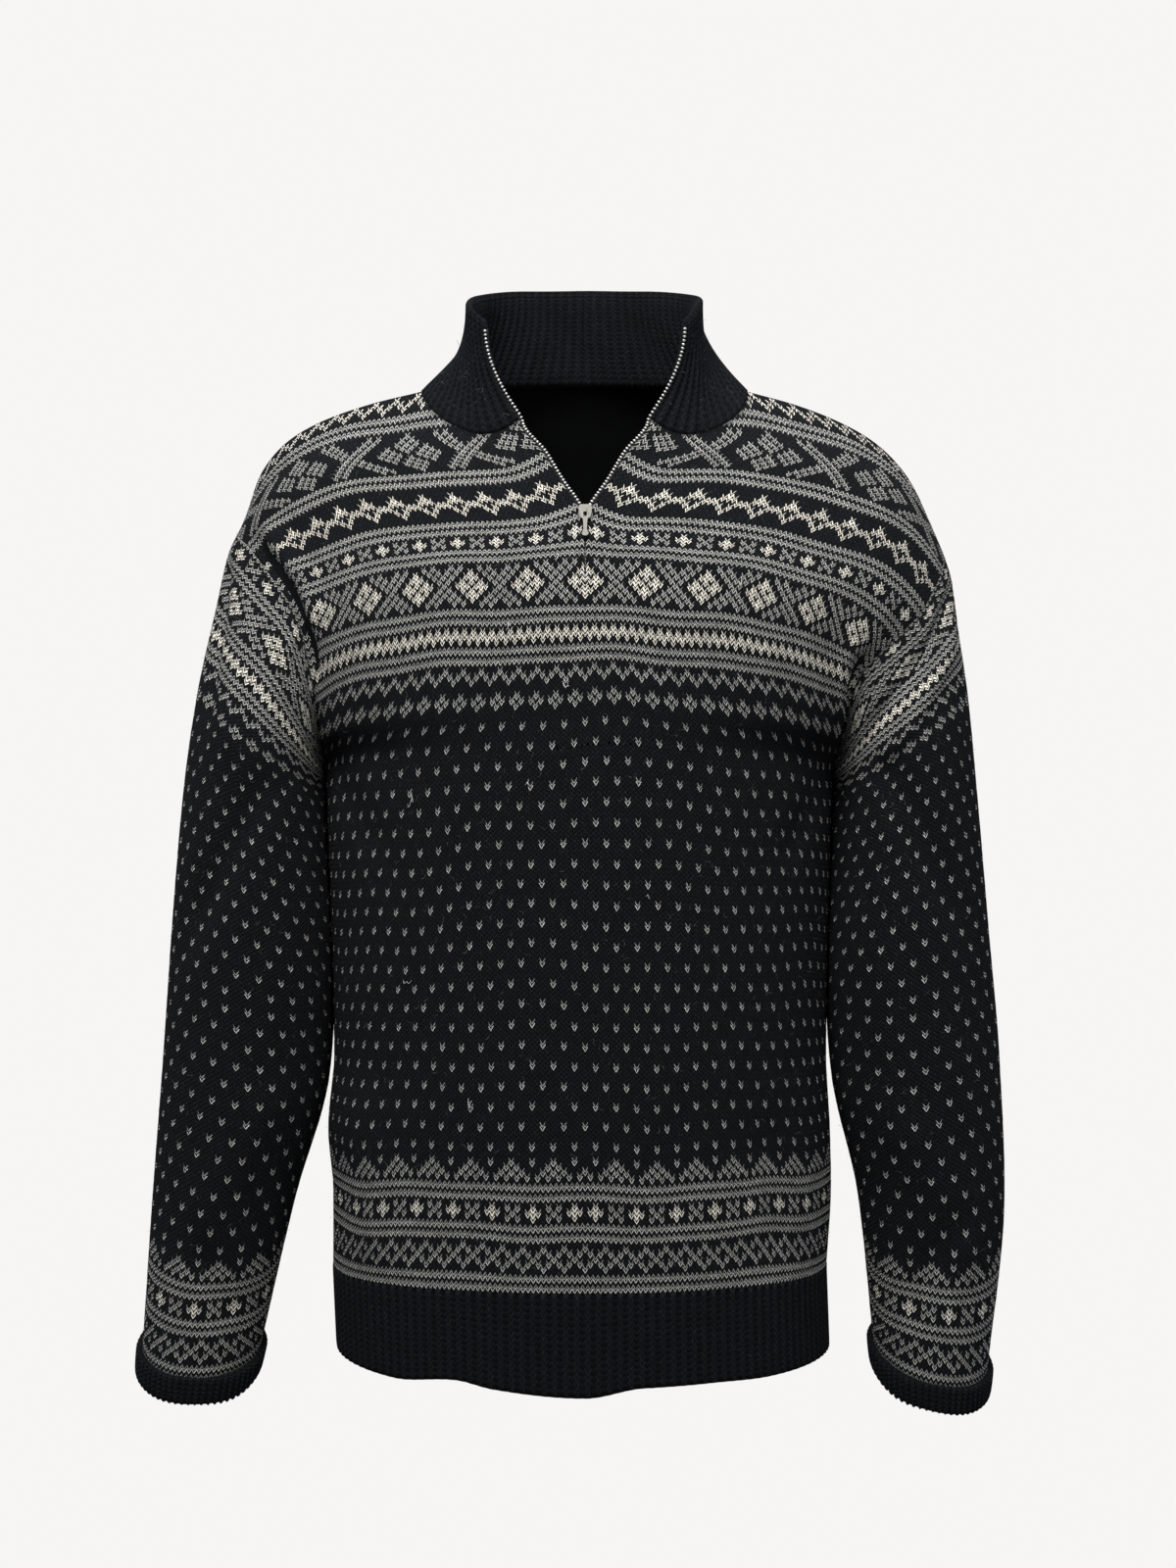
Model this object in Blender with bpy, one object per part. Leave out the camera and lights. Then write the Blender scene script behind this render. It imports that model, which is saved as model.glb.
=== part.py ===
# Quarter-zip sweater, kept in the hollow form it has when it is worn.
# Frame: +X is the wearer's left, the front faces -Y, +Z is up. The origin lies midway between the two
# shoulder high points, at the foot of the collar.
# Knitted pieces are laid out in stitches and rows. Row 0 is a light line across the chest, rows count
# down from it, and share 0..1 runs from the middle of a panel to its side seam. "minus" is the -X side,
# the wearer's right, and "plus" the +X side.

import bpy
import numpy as np
from mathutils.geometry import tessellate_polygon

# Sizes in metres
WALL = 0.0026          # stranded knit of the panels and sleeves
RIB_WALL = 0.0030      # single ribbing
COLLAR_WALL = 0.0058   # ribbing folded double
SEAM = 0.00022         # each piece stops this far short of a seam
RIB_RISE = 0.0009      # height of a rib over its groove
HEM_Z = -0.7330        # lower edge of the hem
ROW = 0.00355          # height of one knitted row

# Rows that mark the body panels
TOP_ROW = -57          # shoulder line
NECK_ROW = -46         # neck edge beside the zip
BACK_NECK_ROW = -53    # neck edge at the middle of the back
SLIT_ROW = -10         # lower end of the zip
OPEN_ROW = -21         # where the zip stops being open
ARMPIT_ROW = 26
LAST_ROW = 134         # last row above the hem ribbing
SHOULDER_ROWS = 14.0   # rows over which a panel turns to the shoulder line
LIFT_WIDTH = 0.034     # width of the raised cloth along the zip
NECK_SHARE = 0.345     # share of a panel's half taken by the neck
SLEEVE_ROWS = 184
FITTED_ROWS = 42.0     # sleeve rows over which it turns from the armhole's shape to a plain oval

# Lengths that the folds are laid out on, and how the sleeves lie against the body
HALF_PANEL = 0.268
SLEEVE_ROUND = 0.42
ARMPIT_TOP_Z = -0.24
ARMPIT_SPACE = (0.0003, 0.0025)

# Zip
TEETH_WIDTH = 0.0022
TEETH_THICK = 0.0026
TAPE_WIDTH = 0.0070
TAPE_THICK = 0.0008
ZIP_SPACE = 0.0004     # between the zip and the cloth that it is sewn to
SLIDER_ROW = -22.5


def table(names, *rows):
    """A table with named columns, the first of which is the one that is looked up."""
    values = np.array(rows, float)
    return {"key": values[:, 0], **{n: values[:, i] for i, n in enumerate(names.split())}}


def along(tab, name, at):
    """A smooth value of one column, with no overshoot between its rows."""
    x, y = tab["key"], tab[name]
    at = np.clip(np.asarray(at, float), x[0], x[-1])
    step = np.diff(x)
    rise = np.diff(y) / step
    slope = np.concatenate([rise[:1], np.zeros(len(x) - 2), rise[-1:]])
    same = rise[:-1] * rise[1:] > 0
    both = rise[:-1] + rise[1:]
    slope[1:-1][same] = 2 * (rise[:-1] * rise[1:])[same] / both[same]
    i = np.clip(np.searchsorted(x, at) - 1, 0, len(x) - 2)
    t = (at - x[i]) / step[i]
    a = (1 + 2 * t) * (1 - t) ** 2 * y[i] + t * (1 - t) ** 2 * step[i] * slope[i]
    return a + t * t * (3 - 2 * t) * y[i + 1] + t * t * (t - 1) * step[i] * slope[i + 1]


# The middle of the front: gap is the half width of the zip's opening, lift is how far the open edge
# is raised, wrap is how far a row turns round the body and early is the share of its drop that comes
# before the shoulder's end.
FRONT = table(
    "row gap lift y z wrap early",
    (-57, 0.0480, 0.0140, -0.0300, 0.0040, 1.00, 0.40),
    (-46, 0.0477, 0.0134, -0.0600, -0.0360, 1.00, 0.42),
    (-36, 0.0295, 0.0115, -0.0790, -0.0590, 1.05, 0.45),
    (-30, 0.0175, 0.0100, -0.0920, -0.0770, 1.08, 0.47),
    (-24, 0.0050, 0.0095, -0.1050, -0.0940, 1.12, 0.50),
    (-21, 0.0007, 0.0080, -0.1110, -0.1020, 1.14, 0.50),
    (-14, 0.0006, 0.0015, -0.1245, -0.1180, 1.18, 0.53),
    (-8, 0.0005, 0.0000, -0.1310, -0.1367, 1.21, 0.56),
    (0, 0.0000, 0.0000, -0.1370, -0.1622, 1.25, 0.60),
    (26, 0.0000, 0.0000, -0.1410, -0.2547, 1.5708, 0.70),
    (60, 0.0000, 0.0000, -0.1390, -0.3779, 1.5708, 0.75),
    (100, 0.0000, 0.0000, -0.1360, -0.5256, 1.5708, 0.80),
    (118, 0.0000, 0.0000, -0.1340, -0.5933, 1.5708, 0.80),
    (134, 0.0000, 0.0000, -0.1320, -0.6540, 1.5708, 0.80),
)
BACK = table(
    "row gap lift y z wrap early",
    (-57, 0.0000, 0.0000, 0.0600, 0.0160, 1.00, 0.40),
    (-50, 0.0000, 0.0000, 0.0740, -0.0030, 1.00, 0.42),
    (-40, 0.0000, 0.0000, 0.0900, -0.0340, 1.05, 0.45),
    (-20, 0.0000, 0.0000, 0.1180, -0.0980, 1.15, 0.50),
    (0, 0.0000, 0.0000, 0.1310, -0.1680, 1.25, 0.60),
    (26, 0.0000, 0.0000, 0.1350, -0.2620, 1.5708, 0.70),
    (60, 0.0000, 0.0000, 0.1320, -0.3850, 1.5708, 0.75),
    (100, 0.0000, 0.0000, 0.1270, -0.5300, 1.5708, 0.80),
    (134, 0.0000, 0.0000, 0.1230, -0.6540, 1.5708, 0.80),
)

# The side of the front: armhole seam down to the armpit row, then the side seam
FRONT_SIDE = table(
    "row minus_x minus_z plus_x plus_z y",
    (-57, 0.2590, -0.0960, 0.2660, -0.1080, 0.0340),
    (-45, 0.2605, -0.1071, 0.2690, -0.1225, 0.0000),
    (-35, 0.2500, -0.1167, 0.2655, -0.1334, -0.0220),
    (-29, 0.2370, -0.1314, 0.2580, -0.1473, -0.0360),
    (-23, 0.2265, -0.1440, 0.2480, -0.1626, -0.0480),
    (-15, 0.2150, -0.1590, 0.2306, -0.1793, -0.0580),
    (-8, 0.2075, -0.1760, 0.2150, -0.1933, -0.0640),
    (0, 0.2025, -0.1991, 0.2010, -0.2091, -0.0640),
    (8, 0.1985, -0.2269, 0.1945, -0.2300, -0.0580),
    (17, 0.1965, -0.2560, 0.1905, -0.2570, -0.0400),
    (26, 0.1960, -0.2860, 0.1870, -0.2860, 0.0000),
    (88, 0.1922, -0.5000, 0.1842, -0.5000, 0.0000),
    (105, 0.1975, -0.5624, 0.1878, -0.5624, 0.0000),
    (118, 0.1942, -0.6090, 0.1891, -0.6090, 0.0000),
    (134, 0.1948, -0.6680, 0.1862, -0.6680, 0.0000),
)
BACK_SIDE = table(
    "row minus_x minus_z plus_x plus_z y",
    (-57, 0.2590, -0.0960, 0.2660, -0.1080, 0.0340),
    (-45, 0.2500, -0.1160, 0.2580, -0.1290, 0.0560),
    (-30, 0.2360, -0.1450, 0.2430, -0.1570, 0.0740),
    (-15, 0.2230, -0.1780, 0.2280, -0.1880, 0.0780),
    (0, 0.2120, -0.2120, 0.2120, -0.2180, 0.0700),
    (13, 0.2030, -0.2480, 0.1990, -0.2510, 0.0480),
    (26, 0.1960, -0.2860, 0.1870, -0.2860, 0.0000),
    (88, 0.1922, -0.5000, 0.1842, -0.5000, 0.0000),
    (105, 0.1975, -0.5624, 0.1878, -0.5624, 0.0000),
    (118, 0.1942, -0.6090, 0.1891, -0.6090, 0.0000),
    (134, 0.1948, -0.6680, 0.1862, -0.6680, 0.0000),
)

# The shoulder line from the foot of the collar, share 0, to the armhole, share 1
SHOULDER = table(
    "share minus_x minus_z plus_x plus_z y",
    (0.000, 0.1225, -0.0010, 0.1213, -0.0010, 0.0020),
    (0.210, 0.1600, -0.0100, 0.1580, -0.0110, 0.0040),
    (0.435, 0.1980, -0.0230, 0.1920, -0.0240, 0.0090),
    (0.620, 0.2265, -0.0395, 0.2200, -0.0400, 0.0160),
    (0.805, 0.2470, -0.0640, 0.2460, -0.0670, 0.0250),
    (1.000, 0.2590, -0.0960, 0.2660, -0.1080, 0.0340),
)

# Sleeve rings: the outer and the inner end of each, half its depth, its middle in y and how far its
# front hangs below its back
SLEEVE_MINUS = table(
    "row out_x out_z in_x in_z depth y drop",
    (0, 0.2590, -0.0960, 0.1960, -0.2860, 0.0720, 0.0060, 0.0000),
    (8, 0.2695, -0.1180, 0.1965, -0.2880, 0.0730, 0.0050, 0.0000),
    (20, 0.2775, -0.1560, 0.1965, -0.2900, 0.0740, 0.0040, 0.0000),
    (39, 0.2925, -0.2255, 0.1960, -0.2980, 0.0745, 0.0020, 0.0000),
    (60, 0.3035, -0.2950, 0.1940, -0.3420, 0.0740, 0.0000, 0.0020),
    (90, 0.3140, -0.3980, 0.1900, -0.4260, 0.0710, -0.0020, 0.0040),
    (120, 0.3230, -0.5020, 0.1965, -0.5180, 0.0660, -0.0020, 0.0070),
    (150, 0.3335, -0.6120, 0.2240, -0.6160, 0.0590, 0.0000, 0.0100),
    (184, 0.3440, -0.7360, 0.2535, -0.7380, 0.0490, 0.0000, 0.0130),
)
SLEEVE_PLUS = table(
    "row out_x out_z in_x in_z depth y drop",
    (0, 0.2660, -0.1080, 0.1870, -0.2860, 0.0720, 0.0060, 0.0000),
    (8, 0.2725, -0.1270, 0.1875, -0.2880, 0.0730, 0.0050, 0.0000),
    (20, 0.2780, -0.1600, 0.1875, -0.2900, 0.0740, 0.0040, 0.0000),
    (39, 0.2885, -0.2280, 0.1870, -0.2980, 0.0745, 0.0020, 0.0000),
    (60, 0.2960, -0.2970, 0.1860, -0.3420, 0.0740, 0.0000, 0.0020),
    (90, 0.3065, -0.4020, 0.1820, -0.4260, 0.0710, -0.0020, 0.0040),
    (120, 0.3170, -0.5060, 0.1890, -0.5180, 0.0660, -0.0020, 0.0070),
    (150, 0.3230, -0.6180, 0.2110, -0.6160, 0.0590, 0.0000, 0.0100),
    (184, 0.3120, -0.7520, 0.2245, -0.7340, 0.0490, 0.0000, 0.0130),
)

# The collar's upper edge from its front edge, share 0, to the middle of the back, share 1
COLLAR_TOP = table(
    "share minus_x plus_x y z",
    (0.00, 0.0745, 0.0740, -0.0530, 0.0470),
    (0.13, 0.0845, 0.0830, -0.0400, 0.0570),
    (0.30, 0.0870, 0.0855, -0.0120, 0.0645),
    (0.52, 0.0790, 0.0780, 0.0260, 0.0700),
    (0.76, 0.0470, 0.0470, 0.0600, 0.0740),
    (1.00, 0.0000, 0.0000, 0.0720, 0.0750),
)

# Folds of the cloth: a soft ridge (rise above 0) or trough from one point of a piece to another.
# On the panels the share is negative on the -X side.
# On the sleeves it is the share of the way round from the top by the front, row.
FRONT_FOLDS = table(
    "rise wide share_a row_a share_b row_b",
    (0.0060, 0.0110, -0.905, -34, -0.925, -6),
    (-0.0060, 0.0090, -0.965, -32, -0.975, 4),
    (0.0050, 0.0120, 0.900, -8, 0.930, 16),
    (-0.0040, 0.0100, 0.965, -6, 0.985, 20),
    (-0.0030, 0.0160, -0.880, 20, -0.600, 46),
    (-0.0030, 0.0160, 0.880, 22, 0.620, 46),
    (0.0030, 0.0220, -0.720, 96, -0.640, 134),
    (-0.0030, 0.0200, 0.560, 100, 0.620, 134),
)
BACK_FOLDS = table(
    "rise wide share_a row_a share_b row_b",
    (0.0050, 0.0130, -0.880, -30, -0.910, 10),
    (-0.0050, 0.0120, 0.900, -24, 0.930, 12),
    (-0.0040, 0.0220, -0.820, 30, -0.300, 60),
    (-0.0040, 0.0220, 0.840, 34, 0.320, 66),
    (0.0030, 0.0240, 0.400, 92, 0.480, 134),
)
MINUS_FOLDS = table(
    "rise wide share_a row_a share_b row_b",
    (-0.0060, 0.0100, 0.070, 6, 0.120, 44),
    (0.0040, 0.0130, 0.150, 10, 0.210, 44),
    (-0.0050, 0.0150, 0.300, 44, 0.120, 92),
    (-0.0035, 0.0150, 0.700, 30, 0.830, 80),
    (0.0030, 0.0200, 0.320, 120, 0.200, 156),
    (-0.0030, 0.0150, 0.180, 150, 0.330, 172),
)
PLUS_FOLDS = table(
    "rise wide share_a row_a share_b row_b",
    (-0.0055, 0.0100, 0.120, 8, 0.340, 26),
    (0.0045, 0.0120, 0.100, 20, 0.300, 36),
    (-0.0045, 0.0140, 0.330, 34, 0.160, 84),
    (-0.0035, 0.0150, 0.720, 26, 0.850, 74),
    (0.0030, 0.0200, 0.300, 126, 0.180, 160),
    (-0.0030, 0.0150, 0.200, 146, 0.340, 170),
)


def half_rows(middle, edge, side, rows, shares):
    """Points of whole rows from the middle (share 0) to the side (share 1), evenly by length."""
    rows = np.asarray(rows, float)
    t = np.linspace(0, 1, 49)
    wrap = along(middle, "wrap", rows)[:, None]
    gap = along(middle, "gap", rows)[:, None]
    across = np.sin(t * wrap) / np.sin(wrap)
    inward = (1 - np.cos(t * wrap)) / (1 - np.cos(wrap))
    end_x = along(edge, side + "_x", rows)[:, None]
    x = gap + (end_x - gap) * across
    y0 = along(middle, "y", rows)[:, None]
    y = y0 + (along(edge, "y", rows)[:, None] - y0) * inward
    z0 = along(middle, "z", rows)[:, None]
    early = along(middle, "early", rows)[:, None]
    fall = early * across**2 + (1 - early) * across**8
    z = z0 + (along(edge, side + "_z", rows)[:, None] - z0) * fall
    near = np.clip(1 - (x - gap) / LIFT_WIDTH, 0, 1) ** 2
    z = z + along(middle, "lift", rows)[:, None] * near
    dense = np.stack([-x if side == "minus" else x, y, z], 2)
    reach = np.linalg.norm(np.diff(dense, axis=1), axis=2).cumsum(1)
    reach = np.concatenate([np.zeros((len(rows), 1)), reach], 1)
    found = np.empty((len(rows), len(shares), 3))
    for r in range(len(rows)):
        for axis in range(3):
            found[r, :, axis] = np.interp(np.asarray(shares) * reach[r, -1], reach[r], dense[r, :, axis])
    return found


def shoulder(side, shares):
    """Points of the shoulder line at shares of a panel's half."""
    at = np.clip((np.asarray(shares) - NECK_SHARE) / (1 - NECK_SHARE), 0, 1)
    x = along(SHOULDER, side + "_x", at)
    y = along(SHOULDER, "y", at)
    z = along(SHOULDER, side + "_z", at)
    return np.stack([-x if side == "minus" else x, y, z], 1)


def unit(v):
    return v / np.maximum(np.linalg.norm(v, axis=-1, keepdims=True), 1e-12)


def normals(grid):
    """Unit normals of a grid of points, along the cross product of its two directions."""
    return unit(np.cross(np.gradient(grid, axis=0), np.gradient(grid, axis=1)))


def fold_rise(folds, shares, rows, width):
    """Height of all the folds at points of a piece whose share 1 is `width` metres long."""
    total = np.zeros(np.broadcast(shares, rows).shape)
    ends = zip(*(folds[n] for n in ("rise", "wide", "share_a", "row_a", "share_b", "row_b")))
    for rise, wide, share_a, row_a, share_b, row_b in ends:
        ax, ay, bx, by = share_a * width, row_a * ROW, share_b * width, row_b * ROW
        px, py = shares * width - ax, rows * ROW - ay
        dx, dy = bx - ax, by - ay
        length = np.hypot(dx, dy)
        t = (px * dx + py * dy) / length**2
        off = (px * dy - py * dx) / length
        ends_at = np.exp(-np.clip(np.abs(t - 0.5) - 0.32, 0, None) ** 2 / 0.045)
        total = total + rise * np.exp(-((off / wide) ** 2)) * ends_at
    return total


ROWS = np.arange(TOP_ROW, LAST_ROW + 1)


def neck_row(face, share):
    """The row at which a panel stops at the neck, for a share of its half."""
    middle = NECK_ROW if face == "front" else BACK_NECK_ROW
    power = 2.4 if face == "front" else 2.0
    part = np.clip(np.abs(share) / NECK_SHARE, 0, 1)
    return middle + (TOP_ROW - middle) * part**power


def lattice(face, side, shares):
    """Every whole row of half a panel at the given shares, with its folds; negative shares are on -X."""
    middle, edge = (FRONT, FRONT_SIDE) if face == "front" else (BACK, BACK_SIDE)
    grid = half_rows(middle, edge, side, ROWS, shares)
    miss = shoulder(side, shares) - grid[0]
    inside = np.asarray(shares) < NECK_SHARE
    if inside.any():
        start = half_rows(middle, edge, side, ROWS[:1], [NECK_SHARE])[0, 0]
        part = (np.asarray(shares)[inside] / NECK_SHARE)[:, None] ** 2
        miss[inside] = (shoulder(side, [NECK_SHARE])[0] - start) * part
    fade = np.clip(1 - (ROWS - TOP_ROW) / SHOULDER_ROWS, 0, 1)[:, None, None] ** 2
    grid = grid + miss * fade
    signed = np.asarray(shares) * (-1 if side == "minus" else 1)
    folds = FRONT_FOLDS if face == "front" else BACK_FOLDS
    calm = np.clip((1 - np.asarray(shares)) / 0.03, 0, 1)
    calm_rows = np.clip((ROWS - TOP_ROW) / 10.0, 0, 1) * np.clip((LAST_ROW - ROWS) / 8.0, 0, 1)
    rise = fold_rise(folds, signed[None, :], ROWS[:, None], HALF_PANEL) * calm * calm_rows[:, None]
    turn = -1 if (side == "minus") == (face == "front") else 1
    return grid + normals(grid) * turn * rise[:, :, None]


def at_rows(grid, rows):
    """Points of a lattice at rows given for each of its columns (rows by columns)."""
    place = np.clip(rows - TOP_ROW, 0, len(ROWS) - 1.000001)
    low = place.astype(int)
    part = (place - low)[:, :, None]
    cols = np.arange(grid.shape[1])[None, :]
    return grid[low, cols] * (1 - part) + grid[low + 1, cols] * part


SQUEEZE_ROW = -38.0    # above it, rows that end at the neck lie closer


def neck_rows(face, rows, shares):
    """The rows, squeezed below the neck edge in the columns that end there."""
    start = SQUEEZE_ROW
    neck = neck_row(face, np.asarray(shares))[None, :]
    rows = np.asarray(rows, float)[:, None]
    squeezed = start + (rows - start) * (neck - start) / (TOP_ROW - start)
    return np.where(rows < start, squeezed, rows + 0 * neck)


def ellipse_side(side, y, z):
    """Half width of the body at a depth and height, for what lies against it."""
    row = np.interp(-z, -FRONT_SIDE[side + "_z"], FRONT_SIDE["key"])
    back_row = np.interp(-z, -BACK_SIDE[side + "_z"], BACK_SIDE["key"])
    half = np.where(y < 0, along(FRONT_SIDE, side + "_x", row), along(BACK_SIDE, side + "_x", back_row))
    part = np.clip(y / np.where(y < 0, along(FRONT, "y", row), along(BACK, "y", row)), -1, 1)
    return half * np.sqrt(np.clip(1 - part**2, 0, 1))


def armhole(side, shares):
    """Points of the armhole at shares of the way round, from its top by the front."""
    front = half_rows(FRONT, FRONT_SIDE, side, np.arange(TOP_ROW, ARMPIT_ROW + 1), [1.0])[:, 0]
    back = half_rows(BACK, BACK_SIDE, side, np.arange(TOP_ROW, ARMPIT_ROW + 1), [1.0])[:, 0]
    found = np.empty((len(shares), 3))
    for edge, part in ((front, np.clip(shares, 0, 0.5) * 2), (back, (1 - np.clip(shares, 0.5, 1)) * 2)):
        reach = np.concatenate([[0], np.linalg.norm(np.diff(edge, axis=0), axis=1).cumsum()])
        here = (shares <= 0.5) if edge is front else (shares > 0.5)
        for axis in range(3):
            found[here, axis] = np.interp(part[here] * reach[-1], reach, edge[:, axis])
    return found


def sleeve_normals(side, grid):
    """Outward normals of a sleeve's points, whose last column is its first one again."""
    n = normals(np.concatenate([grid[:, -2:-1], grid, grid[:, 1:2]], 1))[:, 1:-1]
    return n * (1 if side == "minus" else -1)


def sleeve_rings(side, rows, shares):
    """Plain oval rings of a sleeve, before it is fitted to the armhole."""
    tab = SLEEVE_MINUS if side == "minus" else SLEEVE_PLUS
    turn = 2 * np.pi * shares[None, :]
    at = {n: along(tab, n, rows)[:, None] for n in ("out_x", "out_z", "in_x", "in_z", "depth", "y", "drop")}
    x = (at["out_x"] + at["in_x"]) / 2 + (at["out_x"] - at["in_x"]) / 2 * np.cos(turn)
    z = (at["out_z"] + at["in_z"]) / 2 + (at["out_z"] - at["in_z"]) / 2 * np.cos(turn)
    y = at["y"] - at["depth"] * np.sin(turn)
    z = z - at["drop"] * np.sin(turn)
    return np.stack([-x if side == "minus" else x, y, z], 2)


def sleeve_grid(side, rows, shares):
    """Points of a sleeve at rows and shares of the way round, from the top by the front."""
    rows = np.asarray(rows, float)
    shares = np.asarray(shares, float)
    fade = np.clip(1 - rows / FITTED_ROWS, 0, 1)
    fade = (fade * fade * (3 - 2 * fade))[:, None, None]
    grid = sleeve_rings(side, rows, shares)
    grid = grid + (armhole(side, shares) - sleeve_rings(side, np.zeros(1), shares)[0])[None] * fade
    folds = MINUS_FOLDS if side == "minus" else PLUS_FOLDS
    calm = np.clip(rows / 8.0, 0, 1) * np.clip((SLEEVE_ROWS - rows) / 10.0, 0, 1)
    rise = fold_rise(folds, shares[None, :], rows[:, None], SLEEVE_ROUND) * calm[:, None]
    rise = rise + fold_rise(folds, shares[None, :] - 1, rows[:, None], SLEEVE_ROUND) * calm[:, None]
    grid = grid + sleeve_normals(side, grid) * rise[:, :, None]
    # The sleeve lies against the body without touching it.
    space = ARMPIT_SPACE[0] + (ARMPIT_SPACE[1] - ARMPIT_SPACE[0]) * np.clip(rows / 6.0, 0, 1)[:, None]
    least = ellipse_side(side, grid[:, :, 1], grid[:, :, 2]) + space
    close = (grid[:, :, 2] < ARMPIT_TOP_Z) & (rows[:, None] > 0)
    size = np.abs(grid[:, :, 0])
    size = np.where(close, np.maximum(size, least), size)
    grid[:, :, 0] = size * (-1 if side == "minus" else 1)
    return grid


# Materials
def material(name, colour, roughness, metallic=0.0):
    made = bpy.data.materials.new(name)
    made.use_nodes = True
    shader = made.node_tree.nodes["Principled BSDF"]
    shader.inputs["Base Color"].default_value = (*colour, 1.0)
    shader.inputs["Roughness"].default_value = roughness
    shader.inputs["Metallic"].default_value = metallic
    return made


def add_mesh(name, points, faces, made_of):
    mesh = bpy.data.meshes.new(name)
    mesh.from_pydata([tuple(p) for p in points], [], [tuple(int(i) for i in f) for f in faces])
    mesh.calc_loop_triangles()
    corners = np.array([mesh.vertices[v].co[:] for t in mesh.loop_triangles for v in t.vertices])
    corners = corners.reshape(-1, 3, 3)
    volume = np.einsum("ij,ij->i", corners[:, 0], np.cross(corners[:, 1], corners[:, 2])).sum()
    if volume < 0:
        mesh.flip_normals()
    mesh.materials.append(made_of)
    made = bpy.data.objects.new(name, mesh)
    bpy.context.scene.collection.objects.link(made)
    return made


def wall_faces(quads, count):
    """Outer faces, the same faces turned round for the inner side, and a rim along every open edge."""
    faces = [list(q) for q in quads] + [[v + count for v in reversed(q)] for q in quads]
    used = {}
    for q in quads:
        for a, b in zip(q, q[1:] + q[:1]):
            used[(a, b)] = True
    for a, b in used:
        if (b, a) not in used:
            faces.append([b, a, a + count, b + count])
    return faces


def ring_solid(name, rings, wrap, made_of):
    """A body through rings round its section, in order; a ring may have fewer points than the next."""
    start = np.cumsum([0] + [len(r) for r in rings])
    points = np.concatenate(rings)
    faces = []
    for r in range(len(rings)):
        s = (r + 1) % len(rings)
        a, b = len(rings[r]), len(rings[s])
        spans_a, spans_b = (a, b) if wrap else (a - 1, b - 1)
        few = min(spans_a, spans_b)
        for i in range(few):
            step_a, step_b = spans_a // few, spans_b // few
            one = [start[r] + (i * step_a + j) % a for j in range(step_a + 1)]
            two = [start[s] + (i * step_b + j) % b for j in range(step_b + 1)]
            faces.append(one + two[::-1])
    if not wrap:
        faces.append([start[r] for r in range(len(rings))])
        faces.append([start[r] + len(rings[r]) - 1 for r in reversed(range(len(rings)))])
    return add_mesh(name, points, faces, made_of)


# Clear what the file opened with.
for old in list(bpy.data.objects):
    bpy.data.objects.remove(old, do_unlink=True)

KNIT = material("charcoal_patterned_wool", (0.035, 0.034, 0.036), 0.95)
RIB = material("charcoal_ribbed_wool", (0.022, 0.022, 0.024), 0.95)
METAL = material("nickel_zip_metal", (0.62, 0.60, 0.56), 0.3, 1.0)
TAPE = material("zip_tape_and_teeth", (0.30, 0.29, 0.28), 0.5, 0.3)

# The front and back panels
SHARES = np.array([0, 0.085, 0.17, 0.26, 0.345, 0.44, 0.54, 0.64, 0.73, 0.81, 0.87, 0.91, 0.945, 0.975, 1.0])
ROW_LINES = np.array([-57, -53.5, -50, -46.5, -42, -38, -34, -30, -26, -21, -15, -10, -5, 0, 6, 12, 19, 26,
                      36, 50, 66, 84, 101, 118, 134], float)
BACK_SHARES = np.concatenate([[0, 0.115, 0.23], SHARES[4:]])
BACK_LINES = np.array([-57, -52, -46, -38, -30, -22, -13, -4, 5, 12, 18, 22, 26, 40, 56, 74, 94, 114, 134], float)


def inset(grid, first_row, last_row, last_col):
    """The grid with its stated edges drawn in along the cloth, clear of a seam."""
    made = grid.copy()
    if first_row:
        made[0] += unit(grid[1] - grid[0]) * SEAM
    if last_row:
        made[-1] += unit(grid[-2] - grid[-1]) * SEAM
    if last_col:
        made[:, -1] += unit(grid[:, -2] - grid[:, -1]) * SEAM
    return made


def armhole_shares(side):
    """Sleeve columns that start at the corners of the panels' armhole edges, so that the seam fits."""
    found = []
    for middle, edge, lines in ((FRONT, FRONT_SIDE, ROW_LINES), (BACK, BACK_SIDE, BACK_LINES)):
        whole = np.arange(TOP_ROW, ARMPIT_ROW + 1)
        seam = half_rows(middle, edge, side, whole, [1.0])[:, 0]
        reach = np.concatenate([[0], np.linalg.norm(np.diff(seam, axis=0), axis=1).cumsum()])
        found.append(0.5 * np.interp(lines[lines <= ARMPIT_ROW], whole, reach / reach[-1]))
    return np.concatenate([found[0], (1 - found[1])[::-1][1:]])


SLEEVE_LINES = np.array([0, 4, 9, 15, 22, 30, 39, 50, 64, 80, 98, 118, 138, 154, 170, 184], float)
SLEEVE_COLUMNS = {side: armhole_shares(side) for side in ("minus", "plus")}
PANEL_COLUMNS = {"front": SHARES, "back": BACK_SHARES}
PANEL_LINES = {"front": ROW_LINES, "back": BACK_LINES}


def sewn_pieces(side):
    """The panels and the sleeve of one side as grids that meet exactly, with their outward normals."""
    found = {}
    for face in ("front", "back"):
        shares = PANEL_COLUMNS[face]
        grid = at_rows(lattice(face, side, shares), neck_rows(face, PANEL_LINES[face], shares))
        turn = 1 if (side == "plus") == (face == "front") else -1
        found[face] = (grid, normals(grid) * turn)
    grid = sleeve_grid(side, SLEEVE_LINES, SLEEVE_COLUMNS[side])
    found["sleeve"] = (grid, sleeve_normals(side, grid))
    return found


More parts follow.
